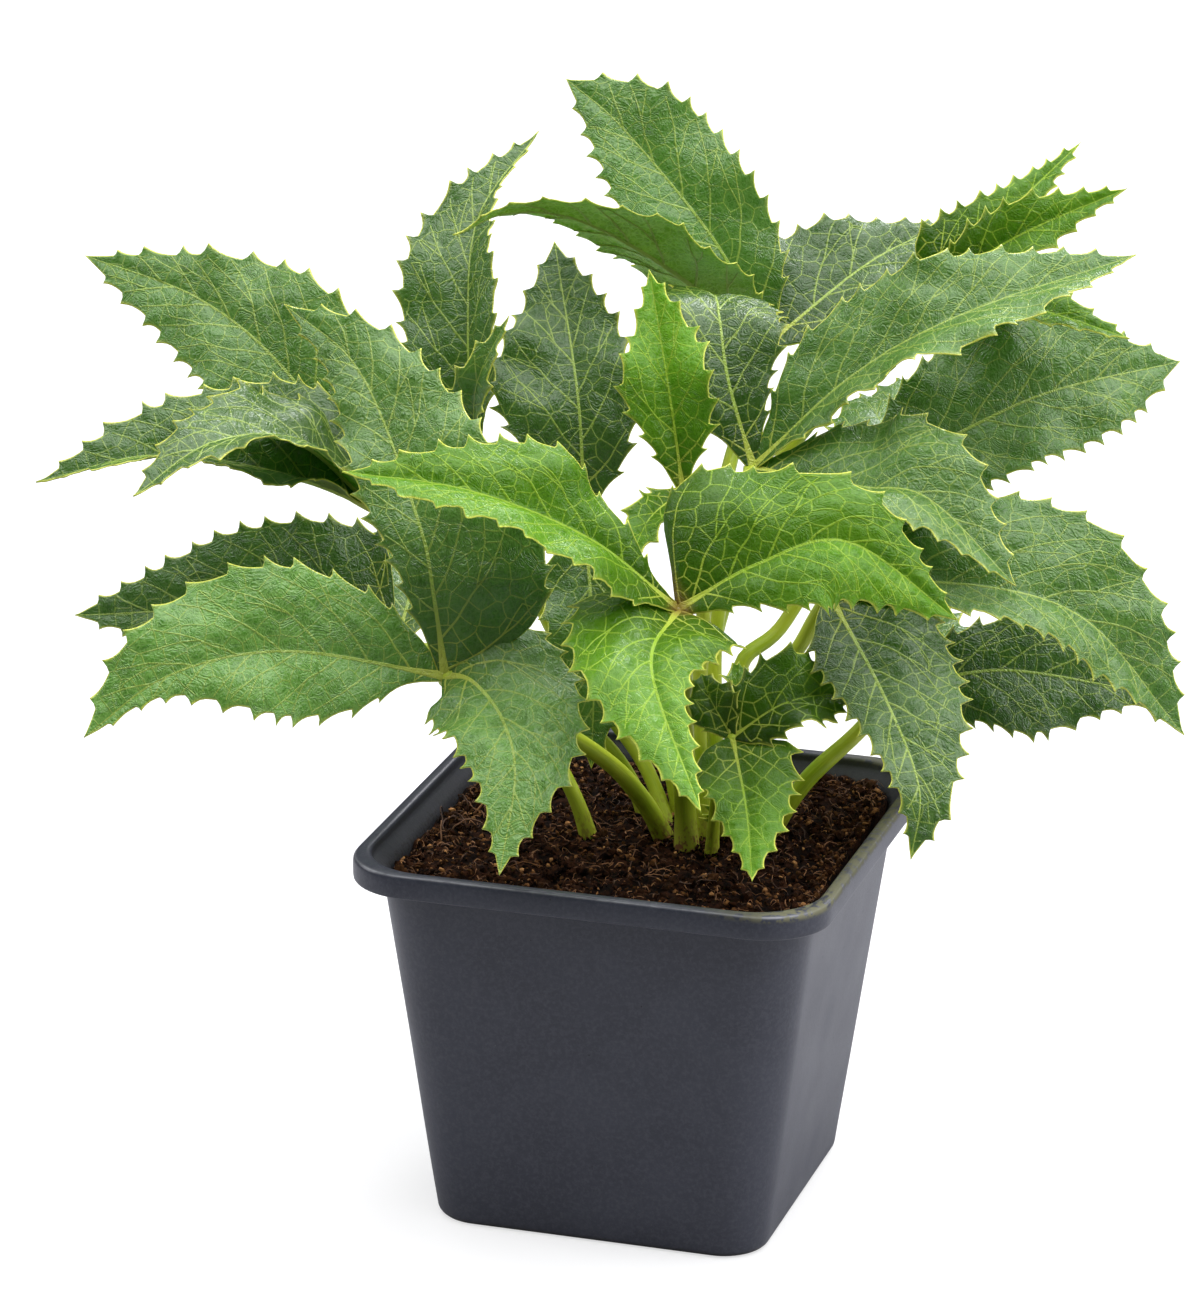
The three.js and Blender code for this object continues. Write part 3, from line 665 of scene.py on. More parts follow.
def scatter_lumps(form, places, sizes, stretch, tints, lift=0.0):
    """Copies of a lump, each with its own size, proportions, turn and tint, half sunk in the bed."""
    corners, triangles = form
    (x, y), count = places, len(sizes)
    z = bed_height(x, y) + sizes * luck.uniform(-0.15, 0.45, count) + lift
    proportions = luck.uniform(*stretch, (count, 1, 3))
    uneven = luck.uniform(0.62, 1.3, (count, len(corners), 1))
    local = corners[None] * uneven * proportions * sizes[:, None, None]
    turned = np.einsum("nij,nkj->nki", random_turns(count), local)
    points = turned + np.column_stack([x, y, z])[:, None]
    # Painted shade: the lower half of each lump is darker.
    hollow = np.clip(0.4 - turned[..., 2] / (1.3 * sizes[:, None]), 0, 1)
    faces = triangles[None] + (np.arange(count) * len(corners))[:, None, None]
    return points.reshape(-1, 3), faces.reshape(-1, 3), np.repeat(tints, len(corners)), hollow.ravel()


def join_lumps(name, parts):
    """One piece from scattered lumps."""
    points, faces, tints, hollows = [], [], [], []
    for part_points, part_faces, part_tints, part_hollows in parts:
        faces.append(part_faces + sum(len(part) for part in points))
        points.append(part_points)
        tints.append(part_tints)
        hollows.append(part_hollows)
    values = {"tint": np.concatenate(tints), "hollow": np.concatenate(hollows)}
    return make_piece(name, np.concatenate(points), np.concatenate(faces).tolist(), [peat], values, flat=True)


def rings_round(path, tangents, beside, radii, sides):
    """The points of rings along a path that never runs along beside, with a radius for each ring,
    or for each point of each ring."""
    across = np.cross(tangents, beside)
    across /= np.linalg.norm(across, axis=1)[:, None]
    above = np.cross(across, tangents)
    turn = np.linspace(0, 2 * math.pi, sides, endpoint=False)
    ring = across[:, None] * np.cos(turn)[None, :, None] + above[:, None] * np.sin(turn)[None, :, None]
    return (path[:, None] + ring * np.reshape(radii, (len(path), -1, 1))).reshape(-1, 3)


def thin_root(start, heading, length, radius, lift, step, wander):
    """A wandering three-sided fibre that lies on the bed and rises by lift in its middle."""
    count = max(4, int(length / step))
    points = []
    x, y = start
    for i in range(count + 1):
        share = i / count
        z = bed_height(np.array([x]), np.array([y]))[0] + radius + lift * math.sin(math.pi * share)
        points.append((x, y, z))
        heading += luck.normal(0, wander)
        x += math.cos(heading) * length / count
        y += math.sin(heading) * length / count
        x, y = (float(np.clip(value, -SOIL_HALF + 1, SOIL_HALF - 1)) for value in (x, y))
    path = np.array(points)
    tangents = np.gradient(path, axis=0)
    tangents /= np.linalg.norm(tangents, axis=1)[:, None]
    points = rings_round(path, tangents, (0, 0, 1), np.linspace(radius, radius * 0.4, count + 1), 3)
    faces = [face[::-1] for face in ring_faces(count + 1, 3)]
    faces.append((0, 1, 2))
    faces.append(tuple(reversed(range(len(points) - 3, len(points)))))
    return points, faces


peat, tree, output = new_material("peat")
where = place_in_mm(tree)
tint = point_value(tree, "tint")
mottle = noise_value(tree, where, 1.1, 4.0, Roughness=0.7)
colour = use_group(tree, cloud, Place=where, Size=2.2, First=PEAT_DARK, Second=PEAT_BROWN)
flecks = use_group(tree, specks, Place=where, Size=0.45, Amount=0.17)
colour = blend_colours(tree, math_node(tree, "MULTIPLY", flecks, 0.8), colour, BARK_TAN)
shade = math_node(tree, "MULTIPLY", tint, step_between(tree, mottle, 0.3, 0.65, 0.45, 1.0))
colour = blend_colours(tree, shade, colour, BARK_TAN)
pale = step_between(tree, tint, 0.7, 1.0)
colour = blend_colours(tree, math_node(tree, "MULTIPLY", pale, 0.8), colour, FLECK_PALE)
# Painted shade: darker in the bed's hollows and on the lower halves of crumbs.
hollow = math_node(tree, "MULTIPLY", point_value(tree, "hollow"), 0.92)
colour = blend_colours(tree, hollow, colour, PEAT_DARK)
skin = bumpy_skin(tree, mottle, 0.9, 0.0006, Base_Color=colour, Roughness=0.95, Specular_IOR_Level=0.15,
                  IOR=1.35)
tree.links.new(skin, output.inputs["Surface"])

root_skin, tree, output = new_material("root_skin")
where = place_in_mm(tree)
colour = use_group(tree, cloud, Place=where, Size=4.0, First=BARK_TAN, Second=ROOT_TAN)
colour = blend_colours(tree, point_value(tree, "tint"), PEAT_BROWN, colour)
streaks = noise_value(tree, where, 3.0, 3.0)
skin = bumpy_skin(tree, streaks, 0.5, 0.0002, Base_Color=colour, Roughness=0.7)
tree.links.new(skin, output.inputs["Surface"])

points, faces, hollow = bed_mesh()
soil_bed = make_piece("soil_bed", points, faces, [peat], {"tint": np.zeros(len(points)), "hollow": hollow})
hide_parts("soil")

lump, fine_lump = crumb_forms()
soil_crumbs = join_lumps("soil_crumbs", [
    scatter_lumps(lump, on_soil(CRUMB_COUNT, 0.15), luck.uniform(0.3, 0.95, CRUMB_COUNT), (0.3, 1.35),
                  luck.random(CRUMB_COUNT) ** 7),
    scatter_lumps(fine_lump, on_soil(BIG_CRUMB_COUNT, 0.1),
                  0.9 + luck.exponential(0.42, BIG_CRUMB_COUNT).clip(0, 1.6),
                  (0.45, 1.2), luck.random(BIG_CRUMB_COUNT) ** 9 * 0.25),
    scatter_lumps(lump, on_soil(CHIP_COUNT, 0.5), luck.uniform(0.3, 0.85, CHIP_COUNT), (0.2, 1.7),
                  luck.uniform(0.2, 1.0, CHIP_COUNT)),
])

# Each fibre or root: where it starts, its heading, length, radius, rise, step and wander.
roots = []
for x, y in zip(*on_soil(FIBRE_COUNT, 0.2)):
    heading, length = luck.uniform(0, 2 * math.pi), 1.6 + min(luck.exponential(1.6), 7)
    roots.append(((x, y), heading, length, luck.uniform(0.08, 0.24), luck.uniform(0.1, 1.1), 0.8, 0.45))
for x, y in zip(*on_soil(ROOT_COUNT, 0.25)):
    length, heading = min(5 + luck.exponential(5.0), 22), luck.uniform(0, 2 * math.pi)
    roots.append(((x, y), heading, length, luck.uniform(0.1, 0.2), luck.uniform(0, 1.2), 1.6, 0.3))
for _ in range(EDGE_ROOT_COUNT):
    place, heading = (luck.uniform(-54, -45), luck.uniform(-20, 36)), luck.uniform(0.6, 2.4)
    length, radius, rise = luck.uniform(8, 15), luck.uniform(0.2, 0.36), luck.uniform(1.5, 4.0)
    roots.append((place, heading, length, radius, rise, 1.4, 0.22))
roots.append(((18.0, -34.0), math.radians(38), 14.0, 0.3, 1.0, 2.0, 0.2))

points, faces, tints, start = [], [], [], 0
for root in roots:
    root_points, root_faces = thin_root(*root)
    points.append(root_points)
    faces += [tuple(start + i for i in face) for face in root_faces]
    tints.append(np.full(len(root_points), luck.uniform(0.02, 1.0) ** 1.3))
    start += len(root_points)
soil_roots = make_piece("soil_roots", np.concatenate(points), faces, [root_skin],
                        {"tint": np.concatenate(tints)})
for piece in (soil_bed, soil_crumbs, soil_roots):
    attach(piece, "root")


# ---- leaves ----
# Fifteen grown leaves, each a round stalk out of the soil with one to four leaflets at its hub.
# The blades are leathery, with spiny teeth, a stout pale midrib and a raised net of veins.

STALK_RADIUS = 2.1
STALK_DEPTH = 9.0
STALK_SIDES = 14
STALK_STEP = 2.6
STALK_FLARE = 0.3
STALK_FLARE_AT = 8.0
STALK_FLARE_REACH = 9.0
STALK_RIDGES = 7
STALK_RIDGE_HEIGHT = 0.035
STALK_GROOVE_DEPTH = 0.13
HUB_RADIUS = 2.9
HUB_REACH = 3.2
HUB_CAP = 1.4
STALK_HALF_WIDTH = 1.5
MIDRIB_BAND = 2.4
MIDRIB_COLUMNS = 7
WIDTH_STATIONS = (0.1, 0.25, 0.5, 0.75)
FIRST_TOOTH = 0.1
LAST_TOOTH = 0.93
TOOTH_HEIGHT = 2.9
SMALLEST_TOOTH = 0.4
FULL_TOOTH_EDGE = 16.0
TOOTH_PEAK = 0.81
TOOTH_LEAN = 0.12
TOOTH_ROWS = (0.0, 0.17, 0.36, 0.53, 0.66, 0.75, 0.81, 0.89)
TOOTH_UNEVEN = 0.2
BASE_ROWS = (0.0, 0.02, 0.04, 0.06, 0.08)
TIP_ROWS = (0.93, 0.945, 0.96, 0.975, 0.988, 1.0)
WAVE_HEIGHT = 1.0
WAVE_CYCLES = 2.5
CELL_TRIES = 2600
FOLD_ROUND = 1.6
BLADE_HALF = 0.26
MARGIN_HALF = 0.09
BULGE = {"mature": 0.05, "young": 0.10}
COLUMN_WIDTH = 1.15
QUILT_RISE = 0.31
QUILT_SPAN = 2.2
PUCKER_RISE = 0.42
PUCKER_SPAN = 5.5
SEED_STEP = 4.6
SEED_OFFSET = 2.1
SEED_CLEARANCE = 2.1
BEYOND_EDGE = 5
CELL_SPACING = {"mature": 4.7, "young": 4.3}
FINE_VEIN_WIDTH = {"mature": 0.33, "young": 0.36}
FINE_VEIN_TINT = {"mature": 0.56, "young": 0.60}
SMALLEST_VEINS = 0.35
FULL_SIZE_LENGTH = 110
SIDE_VEIN_WIDTHS = (0.62, 0.46, 0.32)
FORK_WIDTHS = (0.42, 0.36, 0.30)
NO_EDGE = 9.0
LONGEST_VEIN = 9.0
MERGE_DISTANCE = 2.7
VEIN_SPACING = 15.0
VEIN_ANGLES = (47, 30)
LOBE_VEIN_ANGLE = 72
LOBE_FROM_WIDTH = 9
FORK_ANGLES = (22, -26)
SHORTEST_FORKING = 14
SHORTEST_FORK = 8
VEIN_STEPS = 70
VEIN_STRAIGHTENS = 0.989
VEIN_SWAY = 0.13
VEINS_END = 0.97
VEINS_REACH = 0.96
SWELL_HEIGHT = 1.1
SWELLS = 4
DROOP = (-0.6, 1.6)

# The midrib's width and height, each as shares of its length and the millimetres there.
MIDRIB_ABOVE = ([0, 0.04, 0.12, 1], [3.2, 2.2, 1.2, 0.32]), ([0, 0.1, 1], [0.6, 0.3, 0.12])
MIDRIB_BELOW = ([0, 0.04, 0.12, 1], [3.4, 2.6, 1.9, 0.4]), ([0, 0.1, 1], [1.5, 0.95, 0.12])

STALK_GREEN = (0.340, 0.500, 0.010, 1)
STALK_YELLOW = (0.560, 0.660, 0.045, 1)
STALK_RED = (0.160, 0.060, 0.028, 1)
SHEATH_BROWN = (0.190, 0.068, 0.024, 1)
HUB_RED = (0.230, 0.085, 0.030, 1)
# Hub Shade is painted shade: how dark the blade's tissue is painted next to its hub.
MATURE_TISSUE = {
    "Hub Shade": 0.68, "Fleck": 0.6,
    "Blade Color": (0.080, 0.215, 0.027, 1), "Deep Color": (0.045, 0.142, 0.013, 1),
    "Pale Color": (0.192, 0.345, 0.076, 1), "Vein Color": (0.400, 0.560, 0.090, 1),
    "Under Color": (0.190, 0.330, 0.012, 1), "Edge Color": (0.800, 0.820, 0.120, 1),
    "Light Color": (0.300, 0.800, 0.010, 1),
}
YOUNG_TISSUE = {
    "Hub Shade": 0.42, "Fleck": 0.3,
    "Blade Color": (0.108, 0.280, 0.007, 1), "Deep Color": (0.061, 0.200, 0.004, 1),
    "Pale Color": (0.185, 0.370, 0.030, 1), "Vein Color": (0.350, 0.560, 0.040, 1),
    "Under Color": (0.210, 0.380, 0.022, 1), "Edge Color": (0.820, 0.840, 0.130, 1),
    "Light Color": (0.400, 0.880, 0.006, 1),
}

# petiole: where the stalk leaves the soil (x, y), then its bends, and last the hub.
# radius: the stalk's, where it isn't STALK_RADIUS.
# rib: the points that a leaflet's midrib passes after the hub, its tip last.
# left, right: half widths at WIDTH_STATIONS, seen on the upper face with the tip pointing away.
# face: bearing and height in degrees of the upper face; bearing 0 is the front, 90 the right.
# fold: rise in degrees of both halves from the midrib. teeth: teeth on each edge.
LEAVES = [
  {
    "name": "leaf_left_low",
    "finish": "mature",
    "petiole": [[10, 1], [2, -8, 113], [-10, -21, 131], [-40, -48, 156]],
    "radius": 2.5,
    "leaflets": [
      { "rib": [[-76, -70, 166], [-103, -84, 161], [-122, -96, 146]],
        "left": [4, 14, 16, 5], "right": [10, 18, 22, 14], "face": [15, 30], "fold": 8, "teeth": 11 },
      { "rib": [[-43, -48, 177], [-49, -43, 196], [-71, -25, 229], [-95, -16, 243]],
        "left": [4, 8, 12, 8], "right": [24, 30, 23, 13], "face": [15, 25], "fold": 6, "teeth": 13 },
      { "rib": [[-31, -53, 157], [-19, -65, 152], [-11, -79, 142], [-10, -95, 121]],
        "left": [18, 22, 18, 8], "right": [12, 15, 13, 7], "face": [17, 45], "fold": 6, "teeth": 10 },
    ],
  },
  {
    "name": "leaf_front",
    "finish": "young",
    "petiole": [[15, -8], [14, -9, 117], [16, -19, 146], [19, -35, 176]],
    "radius": 3,
    "leaflets": [
      { "rib": [[-1, -48, 197], [-28, -64, 212], [-58, -77, 218]],
        "left": [8, 16, 16, 10], "right": [3, 9, 19, 10], "face": [10, 60], "fold": 20, "teeth": 11 },
      { "rib": [[22, -69, 171], [46, -106, 148]],
        "left": [18, 18, 8, 4], "right": [20, 22, 16, 8], "face": [17, 55], "fold": 8, "teeth": 10 },
      { "rib": [[39, -30, 189], [61, -23, 195], [89, -17, 175]],
        "left": [24, 30, 19, 8], "right": [6, 11, 20, 11], "face": [10, 45], "fold": 5, "teeth": 11 },
    ],
  },
  {
    "name": "leaf_middle_young",
    "finish": "young",
    "petiole": [[17, 1], [13, 8, 137], [13, 10, 163], [8, 7, 195]],
    "leaflets": [
      { "rib": [[3, 10, 221], [-7, 24, 250]],
        "left": [4, 8, 13, 6], "right": [4, 9, 12, 7], "face": [17, 15], "fold": 22, "teeth": 8 },
      { "rib": [[3, -7, 191], [2, -21, 184]],
        "left": [3, 5, 6, 4], "right": [3, 5, 6, 4], "face": [17, 50], "fold": 30, "teeth": 5 },
      { "rib": [[19, 13, 186], [29, 17, 175]],
        "left": [3, 5, 6, 4], "right": [3, 5, 6, 4], "face": [17, 50], "fold": 30, "teeth": 5 },
    ],
  },
  {
    "name": "leaf_middle_back",
    "finish": "mature",
    "petiole": [[9, 13], [-1, 17, 127], [-15, 23, 155], [-26, 29, 177]],
    "leaflets": [
      { "rib": [[-30, 36, 209], [-45, 62, 245]],
        "left": [8, 16, 22, 12], "right": [6, 13, 15, 10], "face": [10, 20], "fold": 10, "teeth": 10 },
      { "rib": [[-50, 30, 169], [-71, 31, 158]],
        "left": [5, 8, 10, 6], "right": [5, 8, 10, 6], "face": [10, 50], "fold": 10, "teeth": 7 },
      { "rib": [[-19, 16, 147], [-17, 8, 114]],
        "left": [8, 12, 12, 7], "right": [8, 12, 12, 7], "face": [17, 20], "fold": 10, "teeth": 8 },
    ],
  },
  {
    "name": "leaf_back_tall",
    "finish": "mature",
    "petiole": [[8, 6], [-5, 17, 114], [-33, 29, 142], [-62, 45, 189]],
    "leaflets": [
      { "rib": [[-66, 51, 221], [-69, 69, 248], [-60, 95, 267]],
        "left": [8, 16, 18, 8], "right": [7, 12, 11, 2], "face": [-13, 15], "fold": 28, "teeth": 12 },
      { "rib": [[-56, 28, 213], [-48, 31, 232]],
        "left": [4, 6, 7, 4], "right": [3, 4, 5, 3], "face": [-10, 20], "fold": 35, "teeth": 6 },
      { "rib": [[-83, 60, 189], [-111, 76, 187]],
        "left": [7, 13, 16, 9], "right": [7, 13, 16, 9], "face": [-30, 60], "fold": 10, "teeth": 8 },
    ],
  },
  {
    "name": "leaf_left_high",
    "finish": "mature",
    "petiole": [[-10, -8], [-19, -7, 115], [-42, -3, 146], [-73, -4, 185]],
    "leaflets": [
      { "rib": [[-100, 2, 218], [-128, 9, 235], [-163, 14, 243]],
        "left": [8, 16, 18, 12], "right": [10, 20, 22, 10], "face": [0, 35], "fold": 6, "teeth": 12 },
      { "rib": [[-91, -17, 196], [-124, -34, 204], [-153, -49, 198]],
        "left": [6, 12, 13, 7], "right": [14, 26, 20, 10], "face": [-20, 60], "fold": 40, "teeth": 11 },
      { "rib": [[-88, -26, 209], [-103, -51, 214], [-117, -71, 204]],
        "left": [6, 12, 13, 7], "right": [9, 16, 16, 9], "face": [5, 68], "fold": 18, "teeth": 10 },
    ],
  },
  {
    "name": "leaf_left_back",
    "finish": "mature",
    "petiole": [[1, 14], [-15, 19, 116], [-46, 17, 136], [-71, 4, 145]],
    "leaflets": [
      { "rib": [[-111, -2, 152], [-157, -14, 150]],
        "left": [10, 16, 17, 8], "right": [24, 28, 22, 11], "face": [10, 30], "fold": 8, "teeth": 12 },
      { "rib": [[-78, 45, 156], [-85, 85, 167]],
        "left": [8, 14, 16, 9], "right": [8, 14, 16, 9], "face": [0, 65], "fold": 8, "teeth": 9 },
    ],
  },
  {
    "name": "leaf_top",
    "finish": "mature",
    "petiole": [[15, 18], [11, 24, 126], [8, 38, 155], [4, 64, 182], [7, 94, 212]],
    "leaflets": [
      { "rib": [[-8, 93, 240], [-36, 97, 269], [-54, 101, 281]],
        "left": [8, 15, 17, 11], "right": [8, 15, 18, 16], "face": [17, 25], "fold": 8, "teeth": 12 },
      { "rib": [[-16, 67, 240], [-36, 51, 255], [-52, 39, 258], [-63, 29, 253]],
        "left": [8, 15, 15, 7], "right": [7, 12, 10, 5], "face": [197, 55], "fold": 8, "teeth": 11 },
      { "rib": [[29, 118, 231], [47, 140, 239]],
        "left": [18, 22, 19, 8], "right": [8, 14, 15, 8], "face": [10, 50], "fold": 8, "teeth": 9 },
    ],
  },
  {
    "name": "leaf_right_high",
    "finish": "mature",
    "petiole": [[20, 8], [16, 13, 130], [14, 23, 159], [20, 33, 195]],
    "leaflets": [
      { "rib": [[12, 36, 217], [7, 44, 232], [2, 57, 235], [-4, 74, 227]],
        "left": [5, 10, 15, 13], "right": [5, 10, 16, 14], "face": [28, 45], "fold": 4, "teeth": 10 },
      { "rib": [[45, 38, 221], [73, 44, 239], [114, 72, 252]],
        "left": [8, 17, 20, 12], "right": [5, 10, 14, 12], "face": [0, 60], "fold": 25, "teeth": 13 },
      { "rib": [[53, 19, 197], [73, 14, 197], [99, 6, 178]],
        "left": [8, 17, 22, 11], "right": [5, 10, 14, 9], "face": [5, 65], "fold": 25, "teeth": 11 },
    ],
  },
  {
    "name": "leaf_right_young",
    "finish": "young",
    "petiole": [[20, 24], [8, 38, 126], [8, 49, 150], [18, 62, 186], [55, 85, 234]],
    "leaflets": [
      { "rib": [[71, 99, 252], [87, 123, 269]],
        "left": [12, 12, 7, 3], "right": [5, 9, 7, 3], "face": [10, 30], "fold": 15, "teeth": 9 },
      { "rib": [[79, 87, 251], [106, 96, 264]],
        "left": [4, 8, 9, 5], "right": [4, 8, 8, 4], "face": [10, 35], "fold": 15, "teeth": 8 },
      { "rib": [[86, 72, 235], [114, 68, 230]],
        "left": [4, 7, 9, 5], "right": [3, 6, 7, 4], "face": [10, 65], "fold": 15, "teeth": 7 },
    ],
  },
  {
    "name": "leaf_right_middle",
    "finish": "mature",
    "petiole": [[24, 14], [19, 24, 138], [29, 36, 152], [47, 55, 189]],
    "leaflets": [
      { "rib": [[66, 64, 199], [90, 79, 210], [121, 103, 215]],
        "left": [12, 20, 22, 14], "right": [8, 15, 17, 14], "face": [15, 30], "fold": 5, "teeth": 13 },
      { "rib": [[45, 95, 194], [47, 130, 199]],
        "left": [7, 14, 16, 9], "right": [7, 14, 16, 9], "face": [10, 70], "fold": 8, "teeth": 9 },
    ],
  },
  {
    "name": "leaf_front_right",
    "finish": "mature",
    "petiole": [[27, 0], [34, 8, 139], [42, 9, 158], [49, 5, 171]],
    "leaflets": [
      { "rib": [[70, -17, 152], [84, -34, 134], [84, -41, 117]],
        "left": [16, 21, 19, 10], "right": [8, 12, 9, 6], "face": [25, 35], "fold": 5, "teeth": 11 },
      { "rib": [[78, 12, 175], [113, 20, 167], [141, 26, 135]],
        "left": [13, 23, 26, 15], "right": [5, 9, 12, 9], "face": [5, 55], "fold": 18, "teeth": 13 },
    ],
  },
  {
    "name": "leaf_right_low",
    "finish": "mature",
    "petiole": [[28, 7], [40, 14, 113], [53, 22, 127], [62, 28, 138]],
    "radius": 2.4,
    "leaflets": [
      { "rib": [[89, 40, 143], [130, 58, 134]],
        "left": [6, 11, 14, 8], "right": [8, 13, 17, 8], "face": [10, 30], "fold": 5, "teeth": 10 },
      { "rib": [[59, 69, 139], [56, 102, 141]],
        "left": [7, 12, 14, 8], "right": [7, 12, 14, 8], "face": [10, 70], "fold": 8, "teeth": 8 },
    ],
  },
  {
    "name": "leaf_low_small",
    "finish": "young",
    "petiole": [[21, -8], [24, -13, 117], [29, -20, 131], [32, -27, 140]],
    "radius": 1.7,
    "leaflets": [
      { "rib": [[41, -45, 127], [48, -64, 115]],
        "left": [13, 14, 11, 6], "right": [9, 11, 8, 4], "face": [17, 40], "fold": 10, "teeth": 7 },
      { "rib": [[25, -24, 149], [21, -19, 154]],
        "left": [3, 5, 7, 4], "right": [3, 5, 7, 4], "face": [10, 20], "fold": 20, "teeth": 4 },
      { "rib": [[30, -15, 146], [27, -4, 153]],
        "left": [3, 4, 5, 4], "right": [3, 4, 5, 4], "face": [40, 20], "fold": 30, "teeth": 4 },
      { "rib": [[45, -21, 149], [60, -6, 149]],
        "left": [9, 11, 13, 9], "right": [6, 8, 10, 7], "face": [17, 50], "fold": 15, "teeth": 7 },
    ],
  },
  {
    "name": "leaf_shoot",
    "finish": "young",
    "petiole": [[22, 1], [22, 0, 105]],
    "radius": 1.2,
    "leaflets": [
      { "rib": [[22, -3, 110], [22, -5, 115]],
        "left": [2, 3, 3, 2], "right": [2, 3, 3, 2], "face": [17, 20], "fold": 25, "teeth": 4 },
    ],
  },
]

# How reddish each hub and stalk is, and how much brown sheath or spotting its foot has.
BLUSH = {"leaf_front": 0.9, "leaf_middle_young": 0.35, "leaf_shoot": 0.4, "leaf_right_middle": 0.3}
FOOT_BROWN = {"leaf_front": 1.0, "leaf_left_low": 1.0, "leaf_right_low": 0.9, "leaf_front_right": 0.8}
PLAIN_FOOT_BROWN = 0.6

# Painted light and shade: how bright each leaflet's tissue is painted, from one in shade to one in full
# light. Where its two halves differ in the light they get, left and right of the midrib.
LEAFLET_PAINTED_SHADING = {
    "leaf_left_low": (1.46, (0.86, 1.00), 1.34),
    "leaf_front": ((1.00, 0.80), 0.95, (0.80, 0.98)),
    "leaf_middle_young": ((1.1, 1.3), 1.1, 1.1),
    "leaf_middle_back": (0.52, 0.8, 0.8),
    "leaf_back_tall": (0.57, 0.85, 0.8),
    "leaf_left_high": (0.92, 0.64, 0.56),
    "leaf_left_back": (0.60, 0.85),
    "leaf_top": (0.95, 1.50, 0.45),
    "leaf_right_high": (0.46, 0.88, 0.86),
    "leaf_right_young": (0.74, 0.8, 0.75),
    "leaf_right_middle": (0.86, 0.85),
    "leaf_front_right": (0.60, 0.90),
    "leaf_right_low": (0.46, 0.8),
    "leaf_low_small": (1.12, 0.8, 1.3, (0.85, 0.42)),
    "leaf_shoot": (1.1,),
}


class SmoothLine:
    """A smooth line through points, read by its share of length from 0 to 1."""

    def __init__(self, points):
        points = np.asarray(points, dtype=float)
        ends = np.concatenate([[2 * points[0] - points[1]], points, [2 * points[-1] - points[-2]]])
        self.knots = ends
        self.spans = len(points) - 1
        places = self.read(np.linspace(0, 1, 201))
        lengths = np.concatenate([[0], np.cumsum(np.linalg.norm(np.diff(places, axis=0), axis=1))])
        self.length = lengths[-1]
        self.shares = lengths / self.length

    def read(self, t):
        t = np.clip(t, 0, 1) * self.spans
        span = np.minimum(t.astype(int), self.spans - 1)
        w = (t - span)[:, None]
        before, start, end, after = (self.knots[span + i] for i in range(4))
        leave, arrive = (end - before) / 2, (after - start) / 2
        bend = -3 * start + 3 * end - 2 * leave - arrive
        return start + leave * w + bend * w ** 2 + (2 * start - 2 * end + leave + arrive) * w ** 3

    def at(self, share):
        return self.read(np.interp(share, self.shares, np.linspace(0, 1, 201)))

    def heading(self, share):
        t = np.interp(share, self.shares, np.linspace(0, 1, 201))
        step = self.read(t + 0.0005) - self.read(t - 0.0005)
        return step / np.linalg.norm(step, axis=1)[:, None]


def half_width(widths, along):
    """Half width of one side of a blade, a smooth line through the widths at WIDTH_STATIONS."""
    places = np.array([0, *WIDTH_STATIONS, 1])
    knots = np.array([STALK_HALF_WIDTH, *widths, 0.0])
    before = np.maximum(np.arange(6) - 1, 0)
    after = np.minimum(np.arange(6) + 1, 5)
    slopes = (knots[after] - knots[before]) / (places[after] - places[before])
    along = np.clip(along, 0, 1)
    end = np.clip(np.searchsorted(places, along), 1, 5)
    span = places[end] - places[end - 1]
    t = (along - places[end - 1]) / span
    width = (2 * t ** 3 - 3 * t ** 2 + 1) * knots[end - 1]
    width += (t ** 3 - 2 * t ** 2 + t) * span * slopes[end - 1]
    width += (3 * t ** 2 - 2 * t ** 3) * knots[end] + (t ** 3 - t ** 2) * span * slopes[end]
    return np.maximum(width, 0.05)


def edge_at(leaflet, along, across):
    """How far a leaflet's smooth edge is from its midrib, on the side that each place is on."""
    return np.where(across > 0, half_width(leaflet["right"], along), half_width(leaflet["left"], along))


def vein_courses(leaflet, length):
    """The main veins of a blade as lines of (distance along, distance across) from the hub."""
    steps = np.arange(0, length * VEINS_END, 1.0)
    courses = [("midrib", np.column_stack([steps, np.zeros(len(steps))]))]
    branches = []
    for side, widths in ((1, leaflet["right"]), (-1, leaflet["left"])):
        count = max(3, round(length / VEIN_SPACING))
        starts = 0.05 + 0.8 * (np.arange(count) + (0.4 if side > 0 else 0.05)) / count
        angles = np.linspace(*VEIN_ANGLES, count)
        if widths[0] > LOBE_FROM_WIDTH:
            starts = np.concatenate([[0.015], starts])
            angles = np.concatenate([[LOBE_VEIN_ANGLE], angles])
        for start, angle in zip(starts, angles):
            angle = math.radians(angle + luck.uniform(-4, 4))
            course = grow_vein((start * length, side * 0.1), angle, side, widths, length, courses, 6)
            courses.append(("side", course))
            if len(course) > SHORTEST_FORKING:
                place = course[int(len(course) * luck.uniform(0.4, 0.6))]
                branches.append((place, angle + math.radians(luck.choice(FORK_ANGLES)), side, widths))
    for place, angle, side, widths in branches:
        branch = grow_vein(place, angle, side, widths, length, courses, 10)
        if len(branch) > SHORTEST_FORK:
            courses.append(("fork", branch))
    return courses


